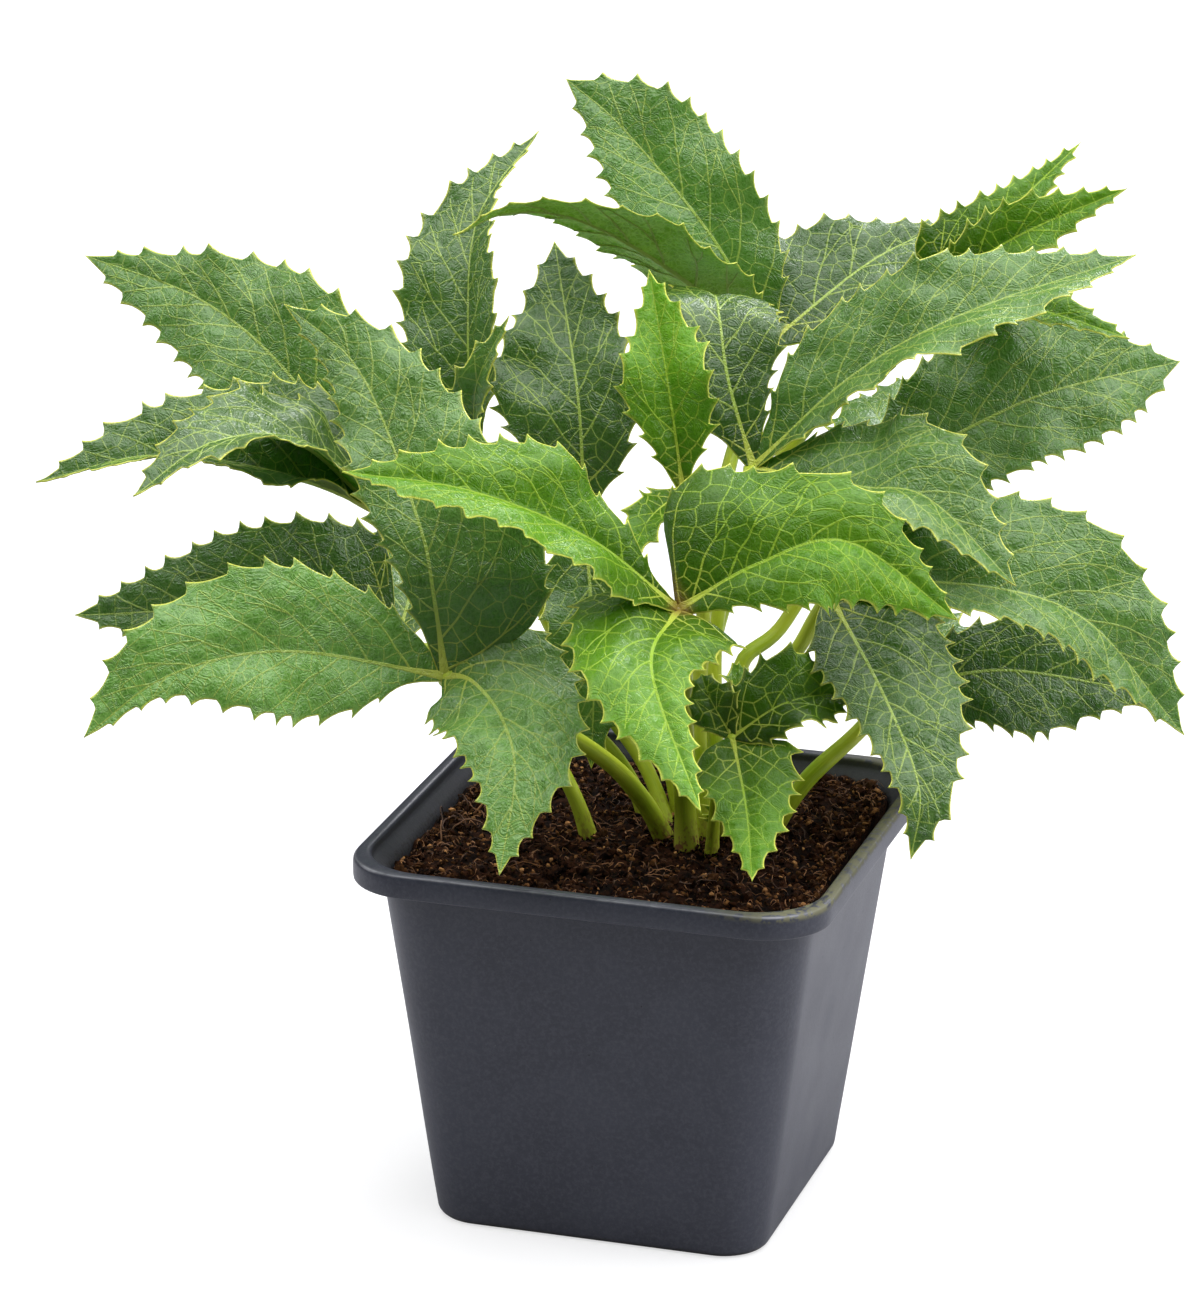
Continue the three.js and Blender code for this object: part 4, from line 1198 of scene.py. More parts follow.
def grow_vein(place, angle, side, widths, length, others, free):
    """A vein that zigzags a little, curves towards the tip, and ends where it meets another."""
    u, v = place
    course, wander = [(u, v)], luck.uniform(-0.05, 0.05)
    grown = np.concatenate([other for kind, other in others if kind != "midrib"] or [np.full((1, 2), -99.0)])
    while len(course) < VEIN_STEPS:
        if len(course) % 4 == 0:
            wander = luck.uniform(-VEIN_SWAY, VEIN_SWAY)
        angle *= VEIN_STRAIGHTENS
        u += math.cos(angle + wander)
        v += side * math.sin(angle + wander)
        edge = half_width(widths, np.array([u / length]))[0]
        if u > VEINS_END * length or abs(v) > VEINS_REACH * edge:
            break
        course.append((u, v))
        if len(course) > free and np.hypot(grown[:, 0] - u, grown[:, 1] - v).min() < MERGE_DISTANCE:
            nearest = grown[np.argmin(np.hypot(grown[:, 0] - u - 1.5, grown[:, 1] - v))]
            course.append(tuple((nearest + (u, v)) / 2))
            course.append(tuple(nearest))
            break
    return np.array(course)


def seed_cells(leaflet, length, courses, cell_spacing):
    """Seeds of the cells between veins. Pairs of them stand across each main vein."""
    seeds, owners = [], []
    dense = [course for kind, course in courses]
    for owner, (kind, course) in enumerate(courses):
        if len(course) < 4:
            continue
        others = [other for i, other in enumerate(dense) if i != owner]
        others = np.concatenate(others) if others else np.zeros((0, 2))
        place = 1.6
        while place < len(course) - 1:
            i = int(place)
            direction = course[min(i + 1, len(course) - 1)] - course[max(i - 1, 0)]
            direction /= np.linalg.norm(direction)
            spot = course[i] + (course[min(i + 1, len(course) - 1)] - course[i]) * (place - i)
            offset = np.array([-direction[1], direction[0]]) * SEED_OFFSET * luck.uniform(0.85, 1.15)
            near = np.linalg.norm(others - spot, axis=1)
            if near.min(initial=99) > SEED_CLEARANCE or kind == "midrib":
                for sign in (-1, 1):
                    seeds.append(spot + sign * offset)
                    owners.append((owner, sign))
            place += SEED_STEP * luck.uniform(0.86, 1.14)
    seeds = np.array(seeds)
    reach_left, reach_right = (max(leaflet[side]) + BEYOND_EDGE for side in ("left", "right"))
    tries = np.column_stack([luck.uniform(-3, length + 3, CELL_TRIES),
                             luck.uniform(-reach_left, reach_right, CELL_TRIES)])
    edge = edge_at(leaflet, tries[:, 0] / length, tries[:, 1])
    tries = tries[np.abs(tries[:, 1]) < edge + BEYOND_EDGE]
    fill = []
    for spot in tries:
        spacing = cell_spacing * luck.uniform(0.88, 1.12)
        if np.min(np.hypot(*(seeds - spot).T)) > spacing * 0.92:
            if not fill or np.min(np.hypot(*(np.array(fill) - spot).T)) > spacing:
                fill.append(spot)
    owners += [(-1, 0)] * len(fill)
    return np.concatenate([seeds, fill]) if fill else seeds, owners


def vein_edges(seeds, owners):
    """The walls between the cells: both ends, and whether each is a fine vein, not a main one."""
    spots = [Vector(seed) for seed in seeds]
    found = geometry.delaunay_2d_cdt(spots, [], [], 0, 1e-6)
    corners = np.array([tuple(corner) for corner in found[0]])
    source = [item[0] if item else 0 for item in found[3]]
    triangles = np.array([face for face in found[2] if len(face) == 3])
    a, b, c = (corners[triangles[:, i]] for i in range(3))
    d = 2 * (a[:, 0] * (b[:, 1] - c[:, 1]) + b[:, 0] * (c[:, 1] - a[:, 1]) + c[:, 0] * (a[:, 1] - b[:, 1]))
    d = np.where(np.abs(d) < 1e-6, 1e-6, d)
    aa, bb, cc = ((p ** 2).sum(axis=1) for p in (a, b, c))
    x = (aa * (b[:, 1] - c[:, 1]) + bb * (c[:, 1] - a[:, 1]) + cc * (a[:, 1] - b[:, 1])) / d
    y = (aa * (c[:, 0] - b[:, 0]) + bb * (a[:, 0] - c[:, 0]) + cc * (b[:, 0] - a[:, 0])) / d
    centres = np.column_stack([x, y])
    between = {}
    for index, triangle in enumerate(triangles):
        for i in range(3):
            pair = tuple(sorted((int(triangle[i]), int(triangle[(i + 1) % 3]))))
            between.setdefault(pair, []).append(index)
    starts, ends, fine = [], [], []
    for (p, q), faces in between.items():
        if len(faces) != 2:
            continue
        start, end = centres[faces[0]], centres[faces[1]]
        if not 0.05 < np.linalg.norm(end - start) < LONGEST_VEIN:
            continue
        p, q = source[p], source[q]
        same = owners[p][0] == owners[q][0] and owners[p][0] >= 0 and owners[p][1] != owners[q][1]
        starts.append(start)
        ends.append(end)
        fine.append(not same)
    return np.array(starts), np.array(ends), np.array(fine)


class Blade:
    """One leaflet's surface, read at (distance along the midrib, signed distance across it)."""

    def __init__(self, hub, leaflet, finish, tone, blush):
        self.leaflet, self.finish, self.blush = leaflet, finish, blush
        self.left_tone, self.right_painted_shading = np.broadcast_to(tone, 2)
        self.seed = luck.uniform(-100, 100)
        self.rib = SmoothLine([hub, *leaflet["rib"]])
        self.length = self.rib.length
        self.size = min(1.0, SMALLEST_VEINS + self.length / FULL_SIZE_LENGTH)
        bearing, rise = (math.radians(angle) for angle in leaflet["face"])
        self.face = np.array([math.sin(bearing) * math.cos(rise), -math.cos(bearing) * math.cos(rise),
                              math.sin(rise)])
        self.fold = math.radians(leaflet["fold"])
        self.courses = vein_courses(leaflet, self.length)
        self.seeds, owners = seed_cells(leaflet, self.length, self.courses, CELL_SPACING[finish])
        self.veins = vein_edges(self.seeds, owners)
        self.main = np.concatenate([course for kind, course in self.courses])
        self.swells = [(luck.uniform(0.16, 0.34), luck.uniform(-0.25, 0.25), luck.uniform(0, 6.28))
                       for _ in range(SWELLS)]
        self.droop = luck.uniform(*DROOP)
        self.bulge = BULGE[finish] * luck.uniform(0.75, 1.25)
        self.lay_grid()

    def puff(self, spots):
        """How far the blade puffs up at each spot, between its fine veins and its main ones.
        Also how deep in its cell the spot is: 0 on a vein's line up to 1 in the middle."""
        rise, depth = np.zeros(len(spots)), np.zeros(len(spots))
        for start in range(0, len(spots), 4000):
            part = spots[start:start + 4000, None]
            apart = np.hypot(part[..., 0] - self.seeds[:, 0], part[..., 1] - self.seeds[:, 1])
            order = np.argpartition(apart, 1, axis=1)[:, :2]
            pair = np.take_along_axis(apart, order, axis=1)
            gap = np.linalg.norm(self.seeds[order[:, 0]] - self.seeds[order[:, 1]], axis=1)
            wall = np.abs(pair[:, 1] ** 2 - pair[:, 0] ** 2) / (2 * gap)
            cell = np.clip(wall / QUILT_SPAN, 0, 1)
            apart = np.hypot(part[..., 0] - self.main[:, 0], part[..., 1] - self.main[:, 1])
            field = np.clip(apart.min(axis=1) / PUCKER_SPAN, 0, 1)
            rise[start:start + 4000] = QUILT_RISE * cell * cell * (3 - 2 * cell)
            rise[start:start + 4000] += PUCKER_RISE * field * field * (3 - 2 * field)
            depth[start:start + 4000] = cell
        return rise, depth

    def lay_grid(self):
        """The blade's grid with its toothed edges, and how far each of its points puffs up."""
        leaflet, teeth = self.leaflet, self.leaflet["teeth"]
        bounds = np.arange(teeth + 1) + np.r_[0, luck.uniform(-TOOTH_UNEVEN, TOOTH_UNEVEN, teeth - 1), 0]
        bounds = FIRST_TOOTH + (LAST_TOOTH - FIRST_TOOTH) * bounds / teeth
        along, phase, cell = list(BASE_ROWS), [0.0] * len(BASE_ROWS), [0.0] * len(BASE_ROWS)
        for start, end in zip(bounds[:-1], bounds[1:]):
            along += [start + part * (end - start) for part in TOOTH_ROWS]
            phase += TOOTH_ROWS
            cell += [end - start] * len(TOOTH_ROWS)
        along, phase = np.array(along + list(TIP_ROWS)), np.array(phase + [0.0] * len(TIP_ROWS))
        cell = np.array(cell + [0.0] * len(TIP_ROWS))
        profile = np.where(phase <= TOOTH_PEAK, (phase / TOOTH_PEAK) ** 3.0,
                           (np.maximum(1 - phase, 0) / (1 - TOOTH_PEAK)) ** 1.7)
        self.row_u, self.sides = along * self.length, {}
        for side, widths in ((-1, leaflet["left"]), (1, leaflet["right"])):
            edge = half_width(widths, along)
            height, rows = luck.uniform(0.78, 1.12, len(along)), np.arange(len(along))
            height = np.interp(rows, rows[::len(TOOTH_ROWS)], height[::len(TOOTH_ROWS)])
            tooth = TOOTH_HEIGHT * np.minimum(1, SMALLEST_TOOTH + edge / FULL_TOOTH_EDGE) * profile * height
            count = int(np.clip(round(max(widths) / COLUMN_WIDTH), 6, 25))
            inner = edge + tooth - np.minimum(0.5, edge * 0.3)
            lean = TOOTH_LEAN * cell * profile * self.length
            shares = np.append(np.linspace(0, 1, count), 1.0)
            v = np.column_stack([inner[:, None] * shares[:-1], edge + tooth])
            u = self.row_u[:, None] + lean[:, None] * shares ** 4
            rise, depth = self.puff(np.column_stack([u.ravel(), side * v.ravel()]))
            tipped = profile[:, None] * np.append(np.zeros(count - 1), [0.35, 1.0])
            self.sides[side] = {
                "count": count, "inner": inner, "lean": lean, "u": u, "v": side * v,
                "rise": rise.reshape(u.shape), "depth": depth.reshape(u.shape),
                "rest": (edge + tooth)[:, None] - v, "tipped": tipped,
            }

    def values_at(self, u, v, **others):
        """What the finish reads at each place: where it is, its painted light or shade, which
        changes over the midrib, its blush, and any others given."""
        right_share = np.clip(0.5 + v / MIDRIB_BAND, 0, 1)
        tone = self.left_tone + (self.right_painted_shading - self.left_tone) * right_share
        flat = np.column_stack([u, v, np.full(len(u), self.seed)])
        return {"flat": flat, "tone": tone, "blush": self.blush, **others}

    def rise_at(self, u, v):
        """The blade's rise at any place, read between the points of its grid."""
        rise, rows = np.zeros(len(u)), np.arange(len(self.row_u))
        for side, part in self.sides.items():
            here = v >= 0 if side > 0 else v < 0
            at_u, at_v = u[here], np.abs(v[here])
            moved = at_u
            for _ in range(3):
                row = np.interp(moved, self.row_u, rows)
                share = np.clip(at_v / np.interp(row, rows, part["inner"]), 0, 1)
                moved = at_u - np.interp(row, rows, part["lean"]) * share ** 4
            column = share * (part["count"] - 1)
            r = np.minimum(row.astype(int), len(rows) - 2)
            c = np.minimum(column.astype(int), part["count"] - 2)
            a, b = row - r, column - c
            grid = part["rise"]
            rise[here] = ((1 - a) * ((1 - b) * grid[r, c] + b * grid[r, c + 1])
                          + a * ((1 - b) * grid[r + 1, c] + b * grid[r + 1, c + 1]))
        return rise

    def at(self, u, v, puff):
        """Points and normals of the middle surface."""
        along = np.clip(u / self.length, 0, 1)
        tangent = self.rib.heading(np.minimum(along, 0.999))
        above = self.face - tangent * (tangent @ self.face)[:, None]
        above /= np.linalg.norm(above, axis=1)[:, None]
        right = np.cross(tangent, above)
        side, reach = np.sign(v), np.abs(v)
        rounded = np.hypot(reach, FOLD_ROUND)
        rise = math.sin(self.fold) * (rounded - FOLD_ROUND)
        slope = np.arctan2(math.sin(self.fold) * reach / rounded, math.cos(self.fold))
        normal = above * np.cos(slope)[:, None] - right * (side * np.sin(slope))[:, None]
        widest = np.where(v > 0, max(self.leaflet["right"]), max(self.leaflet["left"]))
        ripple = WAVE_HEIGHT * (reach / widest) ** 2 * np.sin(2 * math.pi * WAVE_CYCLES * along + side)
        swell = sum(np.sin(a * u + b * v + c) for a, b, c in self.swells) * SWELL_HEIGHT / 2
        ripple += np.minimum(reach / 12, 1) ** 2 * swell - self.droop * (reach / widest) ** 2
        edge = edge_at(self.leaflet, along, v)
        ripple += self.bulge * edge * np.sin(math.pi * np.minimum(reach / edge, 1.15))
        points = self.rib.at(along) + right * (v * math.cos(self.fold))[:, None] + above * rise[:, None]
        return points + normal * (ripple + puff)[:, None], normal


def blade_part(blade):
    """The closed blade: its upper and lower faces and the thin edge between them."""
    left, right = blade.sides[-1], blade.sides[1]
    grids = [np.column_stack([left[label][:, :0:-1], right[label]])
             for label in ("u", "v", "rise", "depth", "rest", "tipped")]
    u, v, rise, depth, rest, tipped = grids
    rows, columns = u.shape
    points, normals = blade.at(u.ravel(), v.ravel(), rise.ravel())
    thick = np.where(rest.ravel() < 0.01, MARGIN_HALF, BLADE_HALF)[:, None]
    count = rows * columns
    index = np.arange(count).reshape(rows, columns)
    upper = grid_quads(rows, columns)
    quads = [upper, upper[:, [0, 3, 2, 1]] + count]
    for line, outward in ((index[:, 0], 1), (index[:, -1], -1), (index[0], -1), (index[-1], 1)):
        first, second = (line[:-1], line[1:]) if outward > 0 else (line[1:], line[:-1])
        quads.append(np.column_stack([first, second, second + count, first + count]))
    both_faces = {label: np.tile(grid.ravel(), 2)
                  for label, grid in (("margin", rest), ("tooth", tipped), ("depth", depth))}
    values = blade.values_at(np.tile(u.ravel(), 2), np.tile(v.ravel(), 2),
                             under=np.repeat([0.0, 1.0], count), **both_faces)
    both = np.concatenate([points + normals * thick, points - normals * thick])
    return both, np.concatenate(quads), values


def vein_part(blade):
    """Raised ribbons for the net on the upper face and for the main veins underneath."""
    starts, ends, fine = blade.veins
    fine_width, fine_tint = FINE_VEIN_WIDTH[blade.finish], FINE_VEIN_TINT[blade.finish]
    shares = np.linspace(0, 1, 4)
    bow = luck.uniform(-0.07, 0.07, len(starts))
    step = ends - starts
    reach = np.linalg.norm(step, axis=1)
    normal = np.column_stack([-step[:, 1], step[:, 0]]) / reach[:, None]
    bend = (bow * reach)[:, None] * np.sin(math.pi * shares)
    spots = starts[:, None] + step[:, None] * shares[None, :, None] + normal[:, None] * bend[..., None]
    along = spots[..., 0] / blade.length
    limit = edge_at(blade.leaflet, along, spots[..., 1])
    inside = (np.abs(spots[..., 1]) < limit - 0.1) & (along > 0.004) & (along < 0.985)
    keep = (inside.sum(axis=1) >= 2) & fine
    lines = [(spots[i], np.full(4, fine_width), inside[i], 0.1, fine_tint) for i in np.flatnonzero(keep)]
    under_lines = []
    for kind, course in blade.courses:
        if kind != "midrib" and len(course) > 3:
            share = np.linspace(0, 1, len(course))
            widths = SIDE_VEIN_WIDTHS if kind == "side" else FORK_WIDTHS
            size = blade.size * np.interp(share, [0, 0.5, 1], widths)
            usable = np.ones(len(course), bool)
            lines.append((course, size, usable, 0.16, fine_tint + 0.2))
            under_lines.append((course, size * 1.3, usable, 0.3, 1.0))
    parts = [ribbon_part(blade, lines, 0.0), ribbon_part(blade, under_lines, 1.0)]
    return parts + [midrib_part(blade, under) for under in (0.0, 1.0)]


def ribbon_part(blade, lines, under):
    """Narrow bands, high along their middle, laid along lines on one face of the blade."""
    spots, lifts, colours, quads, start = [], [], [], [], 0
    for line, size, usable, high, colour in lines:
        direction = np.gradient(line, axis=0)
        direction /= np.linalg.norm(direction, axis=1)[:, None]
        beside = np.column_stack([-direction[:, 1], direction[:, 0]])
        grid = line[:, None] + beside[:, None] * (size[:, None] * (-0.5, 0, 0.5))[..., None]
        spots.append(grid.reshape(-1, 2))
        lifts.append(np.tile([0.03, high, 0.03], len(line)))
        colours.append(np.full(3 * len(line), colour))
        row = np.flatnonzero(usable[:-1] & usable[1:])[:, None] * 3 + np.arange(2)
        quad = start + np.stack([row, row + 1, row + 4, row + 3], axis=-1).reshape(-1, 4)
        quads.append(quad[:, ::-1] if under else quad)
        start += 3 * len(line)
    u, v = np.concatenate(spots).T
    points, normals = blade.at(u, v, blade.rise_at(u, v))
    up = (BLADE_HALF + np.concatenate(lifts)) * (1 - 2 * under)
    values = blade.values_at(u, v, vein=np.concatenate(colours), margin=NO_EDGE, under=under)
    return points + normals * up[:, None], np.concatenate(quads), values


def midrib_part(blade, under):
    """The midrib: a low rounded band above, and a stouter ridge below."""
    share = np.linspace(0, 0.985, max(12, int(blade.length / 1.6)))
    widths, heights = MIDRIB_BELOW if under else MIDRIB_ABOVE
    broad = blade.size * np.interp(share, *widths)
    high = blade.size * np.interp(share, *heights)
    turn = np.linspace(-1, 1, MIDRIB_COLUMNS)
    v = (broad[:, None] / 2 * turn).ravel()
    lift = (high[:, None] * np.sqrt(np.maximum(1 - turn ** 2, 0)) - 0.05).ravel()
    u = np.repeat(share * blade.length, MIDRIB_COLUMNS)
    points, normals = blade.at(u, v, blade.rise_at(u, v))
    points = points + normals * ((BLADE_HALF + lift) * (1 - 2 * under))[:, None]
    quads = grid_quads(len(share), MIDRIB_COLUMNS)
    values = blade.values_at(u, v, vein=1.0, margin=NO_EDGE, under=under)
    return points, quads[:, ::-1] if under else quads, values


def stalk_part(leaf):
    """The stalk: grooved along its upper side, flared at its foot and swollen into the hub."""
    (x, y), *bends = leaf["petiole"]
    root = (x, y, float(soil_height(x, y)) - STALK_DEPTH)
    line = SmoothLine([root, *bends])
    radius = leaf.get("radius", STALK_RADIUS)
    count = int(line.length / STALK_STEP)
    share = np.linspace(0, 1, count + 1)
    run = share * line.length
    end = line.length - run
    thick = radius * (0.94 + STALK_FLARE * np.exp(-((run - STALK_FLARE_AT) / STALK_FLARE_REACH) ** 2))
    swell = np.exp(-(end / HUB_REACH) ** 2)
    thick = thick * (1 - swell) + HUB_RADIUS * min(1, radius / 2) * 0.92 * swell
    path, tangent = line.at(share), line.heading(share)
    turn = np.linspace(0, 2 * math.pi, STALK_SIDES, endpoint=False)
    ridges = 1 + STALK_RIDGE_HEIGHT * np.cos(STALK_RIDGES * turn)
    ridges = ridges - STALK_GROOVE_DEPTH * np.exp(-((turn - math.pi / 2) / 0.45) ** 2)
    wobble = 1 + 0.05 * np.sin(run / 6 + x)
    points = rings_round(path, tangent, (0.1, 1.0, 0.0), (thick * wobble)[:, None] * ridges, STALK_SIDES)
    top = len(points)
    last = top - STALK_SIDES
    points = np.concatenate([points, [path[-1] + tangent[-1] * HUB_CAP]])
    faces = [face[::-1] for face in ring_faces(count + 1, STALK_SIDES)]
    faces += [(last + (i + 1) % STALK_SIDES, last + i, top) for i in range(STALK_SIDES)]
    along = np.append(np.repeat(run, STALK_SIDES), run[-1])
    around = np.append(np.tile(turn * radius, count + 1), 0.0)
    values = {
        "flat": np.column_stack([along, around, np.full(top + 1, x)]),
        "foot": np.append(np.repeat(run - STALK_DEPTH, STALK_SIDES), run[-1]),
        "hub": np.append(np.repeat(end, STALK_SIDES), 0.0),
        "blush": BLUSH.get(leaf["name"], 0.0),
        "brown": FOOT_BROWN.get(leaf["name"], PLAIN_FOOT_BROWN),
    }
    return points, faces, values


# Leaf tissue: cloudy green with fine pale veinlets and flecks, paler underneath, brightened or
# darkened by painted light and shade, with the veins, the hard edge and the tooth tips picked out.
# Through is what light takes on inside it.
tissue, given, put = new_group(
    "leaf_tissue",
    [("Place", "NodeSocketVector", None), ("Vein", "NodeSocketFloat", 0.0),
     ("Margin", "NodeSocketFloat", 9.0), ("Tooth", "NodeSocketFloat", 0.0),
     ("Under", "NodeSocketFloat", 0.0), ("Depth", "NodeSocketFloat", 1.0),
     ("Fleck", "NodeSocketFloat", 0.3), ("Tone", "NodeSocketFloat", 1.0), ("Blush", "NodeSocketFloat", 0.0),
     ("Hub Shade", "NodeSocketFloat", 0.6),
     ("Blade Color", "NodeSocketColor", None), ("Deep Color", "NodeSocketColor", None),
     ("Pale Color", "NodeSocketColor", None), ("Vein Color", "NodeSocketColor", None),
     ("Under Color", "NodeSocketColor", None), ("Edge Color", "NodeSocketColor", None),
     ("Light Color", "NodeSocketColor", None)],
    [("Color", "NodeSocketColor"), ("Through", "NodeSocketColor"), ("Rough", "NodeSocketFloat"),
     ("Height", "NodeSocketFloat")])

# The flesh: cloudy, and paler towards the veins.
colour = use_group(tissue, cloud, Place=given["Place"], Size=13.0, First=given["Blade Color"],
                   Second=given["Deep Color"])
near_vein = step_between(tissue, given["Depth"], 0.05, 0.85, 0.36, 0.0)
colour = blend_colours(tissue, near_vein, colour, given["Pale Color"])

# Veinlets and finer threads between them, crooked, and pale flecks that come in zones.
net_place = add_node(tissue, "ShaderNodeVectorMath", {"operation": "ADD"})
connect(tissue, net_place.inputs[0], given["Place"])
warp = add_node(tissue, "ShaderNodeTexNoise", Vector=given["Place"], Scale=0.45, Detail=2.0).outputs["Color"]
connect(tissue, net_place.inputs[1], warp)
veinlets = add_node(tissue, "ShaderNodeTexVoronoi", {"feature": "DISTANCE_TO_EDGE"},
                    Vector=net_place.outputs[0], Scale=0.62, Randomness=1.0).outputs["Distance"]
veinlet_mask = step_between(tissue, veinlets, 0.03, 0.18, 0.50, 0.0)
colour = blend_colours(tissue, veinlet_mask, colour, given["Pale Color"])
threads = add_node(tissue, "ShaderNodeTexVoronoi", {"feature": "DISTANCE_TO_EDGE"},
                   Vector=net_place.outputs[0], Scale=1.5, Randomness=1.0).outputs["Distance"]
pale_threads = step_between(tissue, threads, 0.02, 0.2, 0.34, 0.0)
colour = blend_colours(tissue, pale_threads, colour, given["Pale Color"])
deep_cells = step_between(tissue, threads, 0.25, 0.5, 0.0, 0.5)
colour = blend_colours(tissue, deep_cells, colour, given["Deep Color"])
flecks = use_group(tissue, specks, Place=given["Place"], Size=0.42, Amount=0.5)
fleck_zone = noise_value(tissue, given["Place"], 0.09, 3.0)
fleck_share = math_node(tissue, "MULTIPLY", flecks, step_between(tissue, fleck_zone, 0.35, 0.6, 0.25, 1.0))
fleck_share = math_node(tissue, "MULTIPLY", fleck_share, given["Fleck"])
colour = blend_colours(tissue, fleck_share, colour, given["Pale Color"])

# The underside, then the leaflet's painted light or shade, with painted shade darker near the hub.
from_hub = add_node(tissue, "ShaderNodeSeparateXYZ", Vector=given["Place"]).outputs["X"]
hub_shade = step_between(tissue, from_hub, 4.0, 46.0, given["Hub Shade"], 1.0)
brightness = math_node(tissue, "MULTIPLY", given["Tone"], hub_shade)
under_net = step_between(tissue, given["Depth"], 0.0, 0.3, 0.55, 0.0)
under_colour = blend_colours(tissue, under_net, given["Under Color"], given["Vein Color"])
under_colour = blend_colours(tissue, veinlet_mask, under_colour, given["Vein Color"])
colour = blend_colours(tissue, math_node(tissue, "MULTIPLY", given["Under"], 0.8), colour, under_colour)
colour = add_node(tissue, "ShaderNodeVectorMath", {"operation": "SCALE"}, Vector=colour,
                  Scale=brightness).outputs[0]

# Raised veins, the blush at the hub, the hard edge and the tooth tips.
vein_colour = blend_colours(tissue, step_between(tissue, from_hub, 22.0, 1.0, 0.0, 0.6), given["Vein Color"],
                            given["Edge Color"])
colour = blend_colours(tissue, given["Vein"], colour, vein_colour)
red_share = math_node(tissue, "MULTIPLY", given["Blush"], step_between(tissue, from_hub, 6.5, 0.5, 0.0, 0.85))
colour = blend_colours(tissue, red_share, colour, HUB_RED)
edge_share = step_between(tissue, given["Margin"], 0.12, 0.42, 0.9, 0.0)
colour = blend_colours(tissue, edge_share, colour, given["Edge Color"])
tissue.links.new(blend_colours(tissue, given["Tooth"], colour, given["Edge Color"]), put["Color"])
through = blend_colours(tissue, math_node(tissue, "MULTIPLY", given["Vein"], 0.7), given["Light Color"],
                        given["Vein Color"])
tissue.links.new(through, put["Through"])

# Sheen and relief: fine grain, sunken veinlets, and swirled wrinkles where the skin is slack.
rough = math_node(tissue, "MULTIPLY_ADD", fleck_zone, 0.2, 0.13)
rough = math_node(tissue, "MULTIPLY_ADD", given["Under"], 0.25, rough)
tissue.links.new(rough, put["Rough"])
grain = noise_value(tissue, given["Place"], 2.0, 2.0, Roughness=0.6)
relief = math_node(tissue, "MULTIPLY_ADD", step_between(tissue, veinlets, 0.0, 0.35), 0.8, grain)
relief = math_node(tissue, "MULTIPLY_ADD", step_between(tissue, threads, 0.0, 0.3), 0.35, relief)
folds = noise_value(tissue, given["Place"], 0.17, 2.0, Distortion=0.9)
wrinkles = math_node(tissue, "SINE", math_node(tissue, "MULTIPLY", folds, 85.0))
wrinkle_zone = step_between(tissue, fleck_zone, 0.35, 0.62, 0.16, 0.72)
relief = math_node(tissue, "MULTIPLY_ADD", wrinkles, wrinkle_zone, relief)
tissue.links.new(relief, put["Height"])


def leaf_material(name, look, see_through, shine, crinkle):
    """A blade's finish: glossy skin over tissue that lets some light through."""
    material, tree, output = new_material(name)
    parts = {"Place": add_node(tree, "ShaderNodeAttribute", {"attribute_name": "flat"}).outputs["Vector"]}
    for socket, label in (("Vein", "vein"), ("Margin", "margin"), ("Tooth", "tooth"), ("Under", "under"),
                          ("Depth", "depth"), ("Tone", "tone"), ("Blush", "blush")):
        parts[socket] = point_value(tree, label)
    blades = tree.nodes.new("ShaderNodeGroup")
    blades.node_tree = tissue
    for socket, value in {**parts, **look}.items():
        connect(tree, blades.inputs[socket], value)
    skin = bumpy_skin(tree, blades.outputs["Height"], 1.0, crinkle, Base_Color=blades.outputs["Color"],
                      Roughness=blades.outputs["Rough"], IOR=1.5, Specular_IOR_Level=shine)
    light = add_node(tree, "ShaderNodeBsdfTranslucent", Color=blades.outputs["Through"])
    both = add_node(tree, "ShaderNodeMixShader", Fac=see_through)
    tree.links.new(skin, both.inputs[1])
    tree.links.new(light.outputs[0], both.inputs[2])
    tree.links.new(both.outputs[0], output.inputs["Surface"])
    return material


mature_blade = leaf_material("mature_blade", MATURE_TISSUE, see_through=0.20, shine=0.60, crinkle=0.00009)
young_blade = leaf_material("young_blade", YOUNG_TISSUE, see_through=0.22, shine=0.26, crinkle=0.00008)

leaf_stalk, tree, output = new_material("leaf_stalk")
flat = add_node(tree, "ShaderNodeAttribute", {"attribute_name": "flat"}).outputs["Vector"]
foot, hub = point_value(tree, "foot"), point_value(tree, "hub")
streak_place = stretched(tree, flat, (0.12, 2.2, 1.0))
streaks = noise_value(tree, streak_place, 1.0, 3.0)
colour = use_group(tree, cloud, Place=flat, Size=22.0, First=STALK_GREEN, Second=STALK_YELLOW)
colour = blend_colours(tree, step_between(tree, streaks, 0.45, 0.7, 0.0, 0.45), colour, STALK_YELLOW)
colour = blend_colours(tree, step_between(tree, foot, 26.0, 2.0, 0.0, 0.55), colour, STALK_YELLOW)
near_hub = step_between(tree, hub, 26.0, 1.0, 0.12, 0.85)
blush = math_node(tree, "MULTIPLY", point_value(tree, "blush"), near_hub)
colour = blend_colours(tree, blush, colour, STALK_RED)
low_down = step_between(tree, foot, 15.0, 0.5)
spots = use_group(tree, specks, Place=stretched(tree, flat, (0.5, 1.0, 1.0)), Size=1.3, Amount=0.55)
brown = math_node(tree, "MULTIPLY", math_node(tree, "MULTIPLY", point_value(tree, "brown"), low_down),
                  math_node(tree, "MULTIPLY_ADD", spots, 0.65, 0.35))
colour = blend_colours(tree, brown, colour, SHEATH_BROWN)
rough = math_node(tree, "MULTIPLY_ADD", brown, 0.4, 0.38)
skin = bumpy_skin(tree, streaks, 0.3, 0.0003, Base_Color=colour, Roughness=rough, IOR=1.45)
tree.links.new(skin, output.inputs["Surface"])


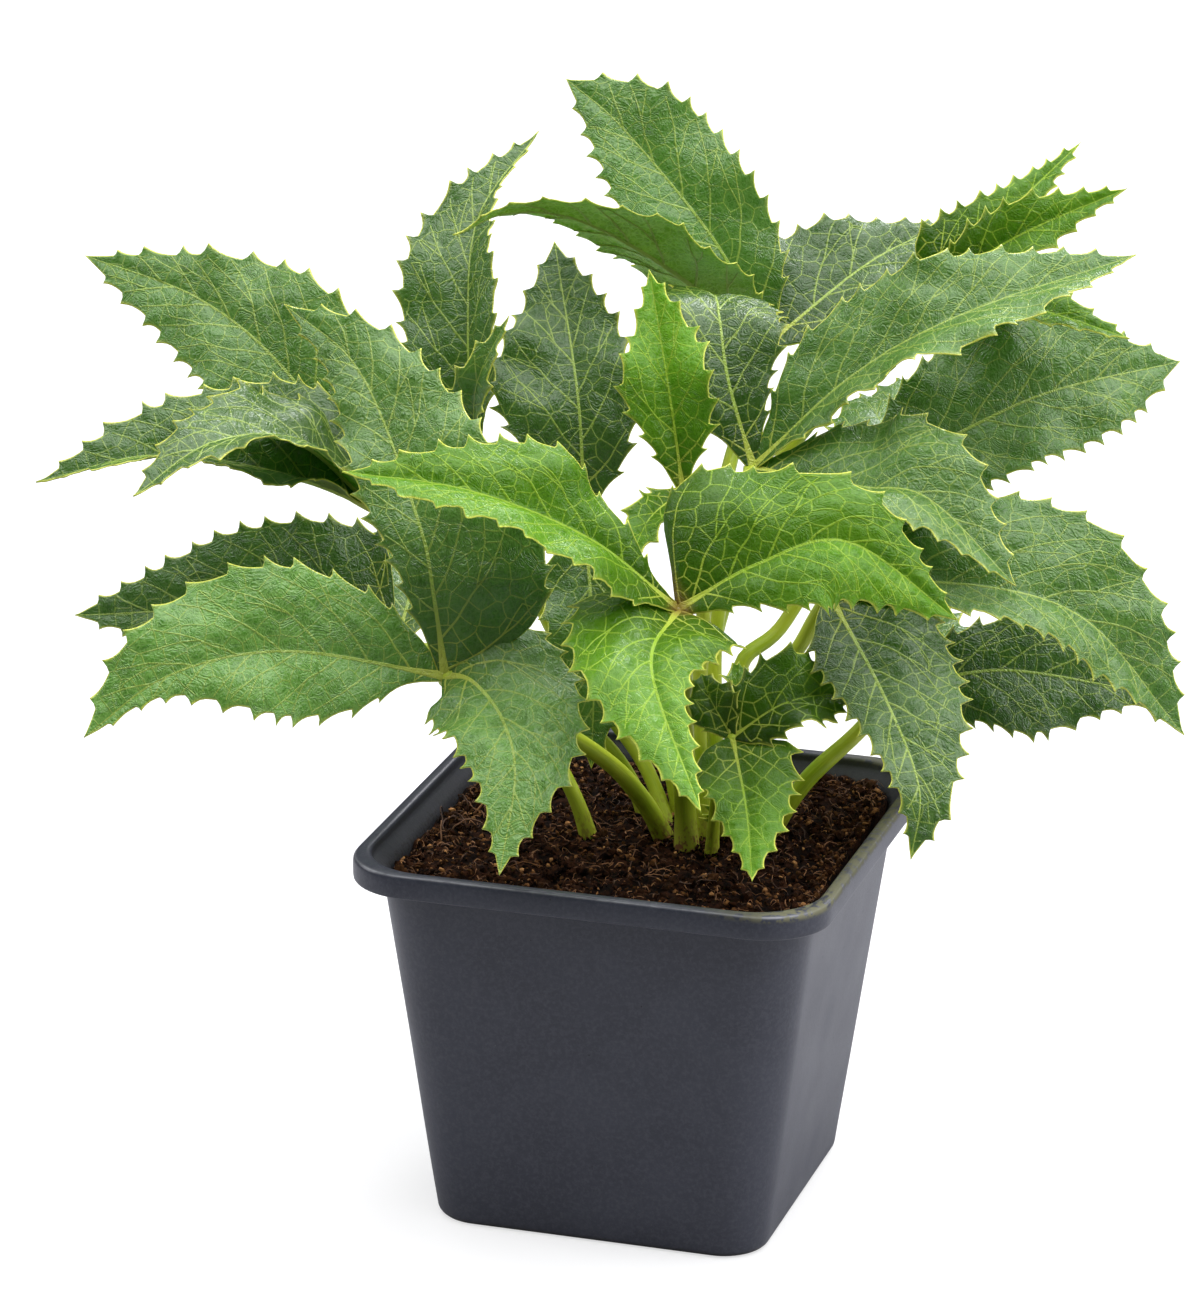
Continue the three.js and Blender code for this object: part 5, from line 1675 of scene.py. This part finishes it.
def join_leaf(name, parts, finishes):
    """One mesh object from the parts of a leaf. Each part is points, faces, values and finish."""
    labels = ("vein", "margin", "tooth", "under", "depth", "tone", "foot", "hub", "blush", "brown")
    points, faces, slots, flat, start = [], [], [], [], 0
    values = {label: [] for label in labels}
    for part_points, part_faces, part_values, finish in parts:
        part_faces = part_faces.tolist() if isinstance(part_faces, np.ndarray) else part_faces
        points.append(part_points)
        faces += [[start + i for i in face] for face in part_faces]
        slots += [finish] * len(part_faces)
        flat.append(part_values["flat"])
        for label in labels:
            values[label].append(np.broadcast_to(part_values.get(label, 0.0), len(part_points)))
        start += len(part_points)
    values = {label: np.concatenate(numbers) for label, numbers in values.items()}
    values["flat"] = np.concatenate(flat)
    piece = make_piece(name, np.concatenate(points), faces, finishes, values)
    piece.data.polygons.foreach_set("material_index", slots)
    return piece


for leaf in LEAVES:
    parts = [(*stalk_part(leaf), 1)]
    hub = leaf["petiole"][-1]
    # Each leaflet takes its painted light and shade from its row of the table above.
    for leaflet, tone in zip(leaf["leaflets"], LEAFLET_PAINTED_SHADING[leaf["name"]]):
        blade = Blade(hub, leaflet, leaf["finish"], tone, BLUSH.get(leaf["name"], 0.0))
        parts.append((*blade_part(blade), 0))
        parts += [(*part, 0) for part in vein_part(blade)]
    finish = mature_blade if leaf["finish"] == "mature" else young_blade
    piece = join_leaf(leaf["name"] + "_grown", parts, [finish, leaf_stalk])
    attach(piece, "root")
    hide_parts(leaf["name"])


# ---- crumbs round the stalks ----
# The same peat, pressed up against the stalks where they leave the soil. Each collar of loose
# crumbs lies on the bed round one stalk, higher the nearer it is.

COLLAR_COUNT = 34
COLLAR_HEIGHT = 0.9
COLLAR_REACH = 1.2

collars = []
for leaf in LEAVES:
    (x, y), *bends = leaf["petiole"]
    path = SmoothLine([(x, y, float(soil_height(x, y)) - STALK_DEPTH), *bends]).at(np.linspace(0, 1, 300))
    above = path[:, 2] > soil_height(path[:, 0], path[:, 1]) + BED_LIFT
    x, y, _ = path[np.argmax(above)]
    turn = luck.uniform(0, 2 * math.pi, COLLAR_COUNT)
    gap = luck.exponential(0.8, COLLAR_COUNT)
    reach = leaf.get("radius", STALK_RADIUS) * 1.1 + gap
    places = x + reach * np.cos(turn), y + reach * np.sin(turn)
    collars.append(scatter_lumps(lump, places, luck.uniform(0.35, 0.95, COLLAR_COUNT), (0.35, 1.3),
                                 luck.random(COLLAR_COUNT) ** 6, COLLAR_HEIGHT * np.exp(-gap / COLLAR_REACH)))
soil_collars = join_lumps("soil_collars", collars)
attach(soil_collars, "root")


# ---- size ----
# The box round the finished plant.

low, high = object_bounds()
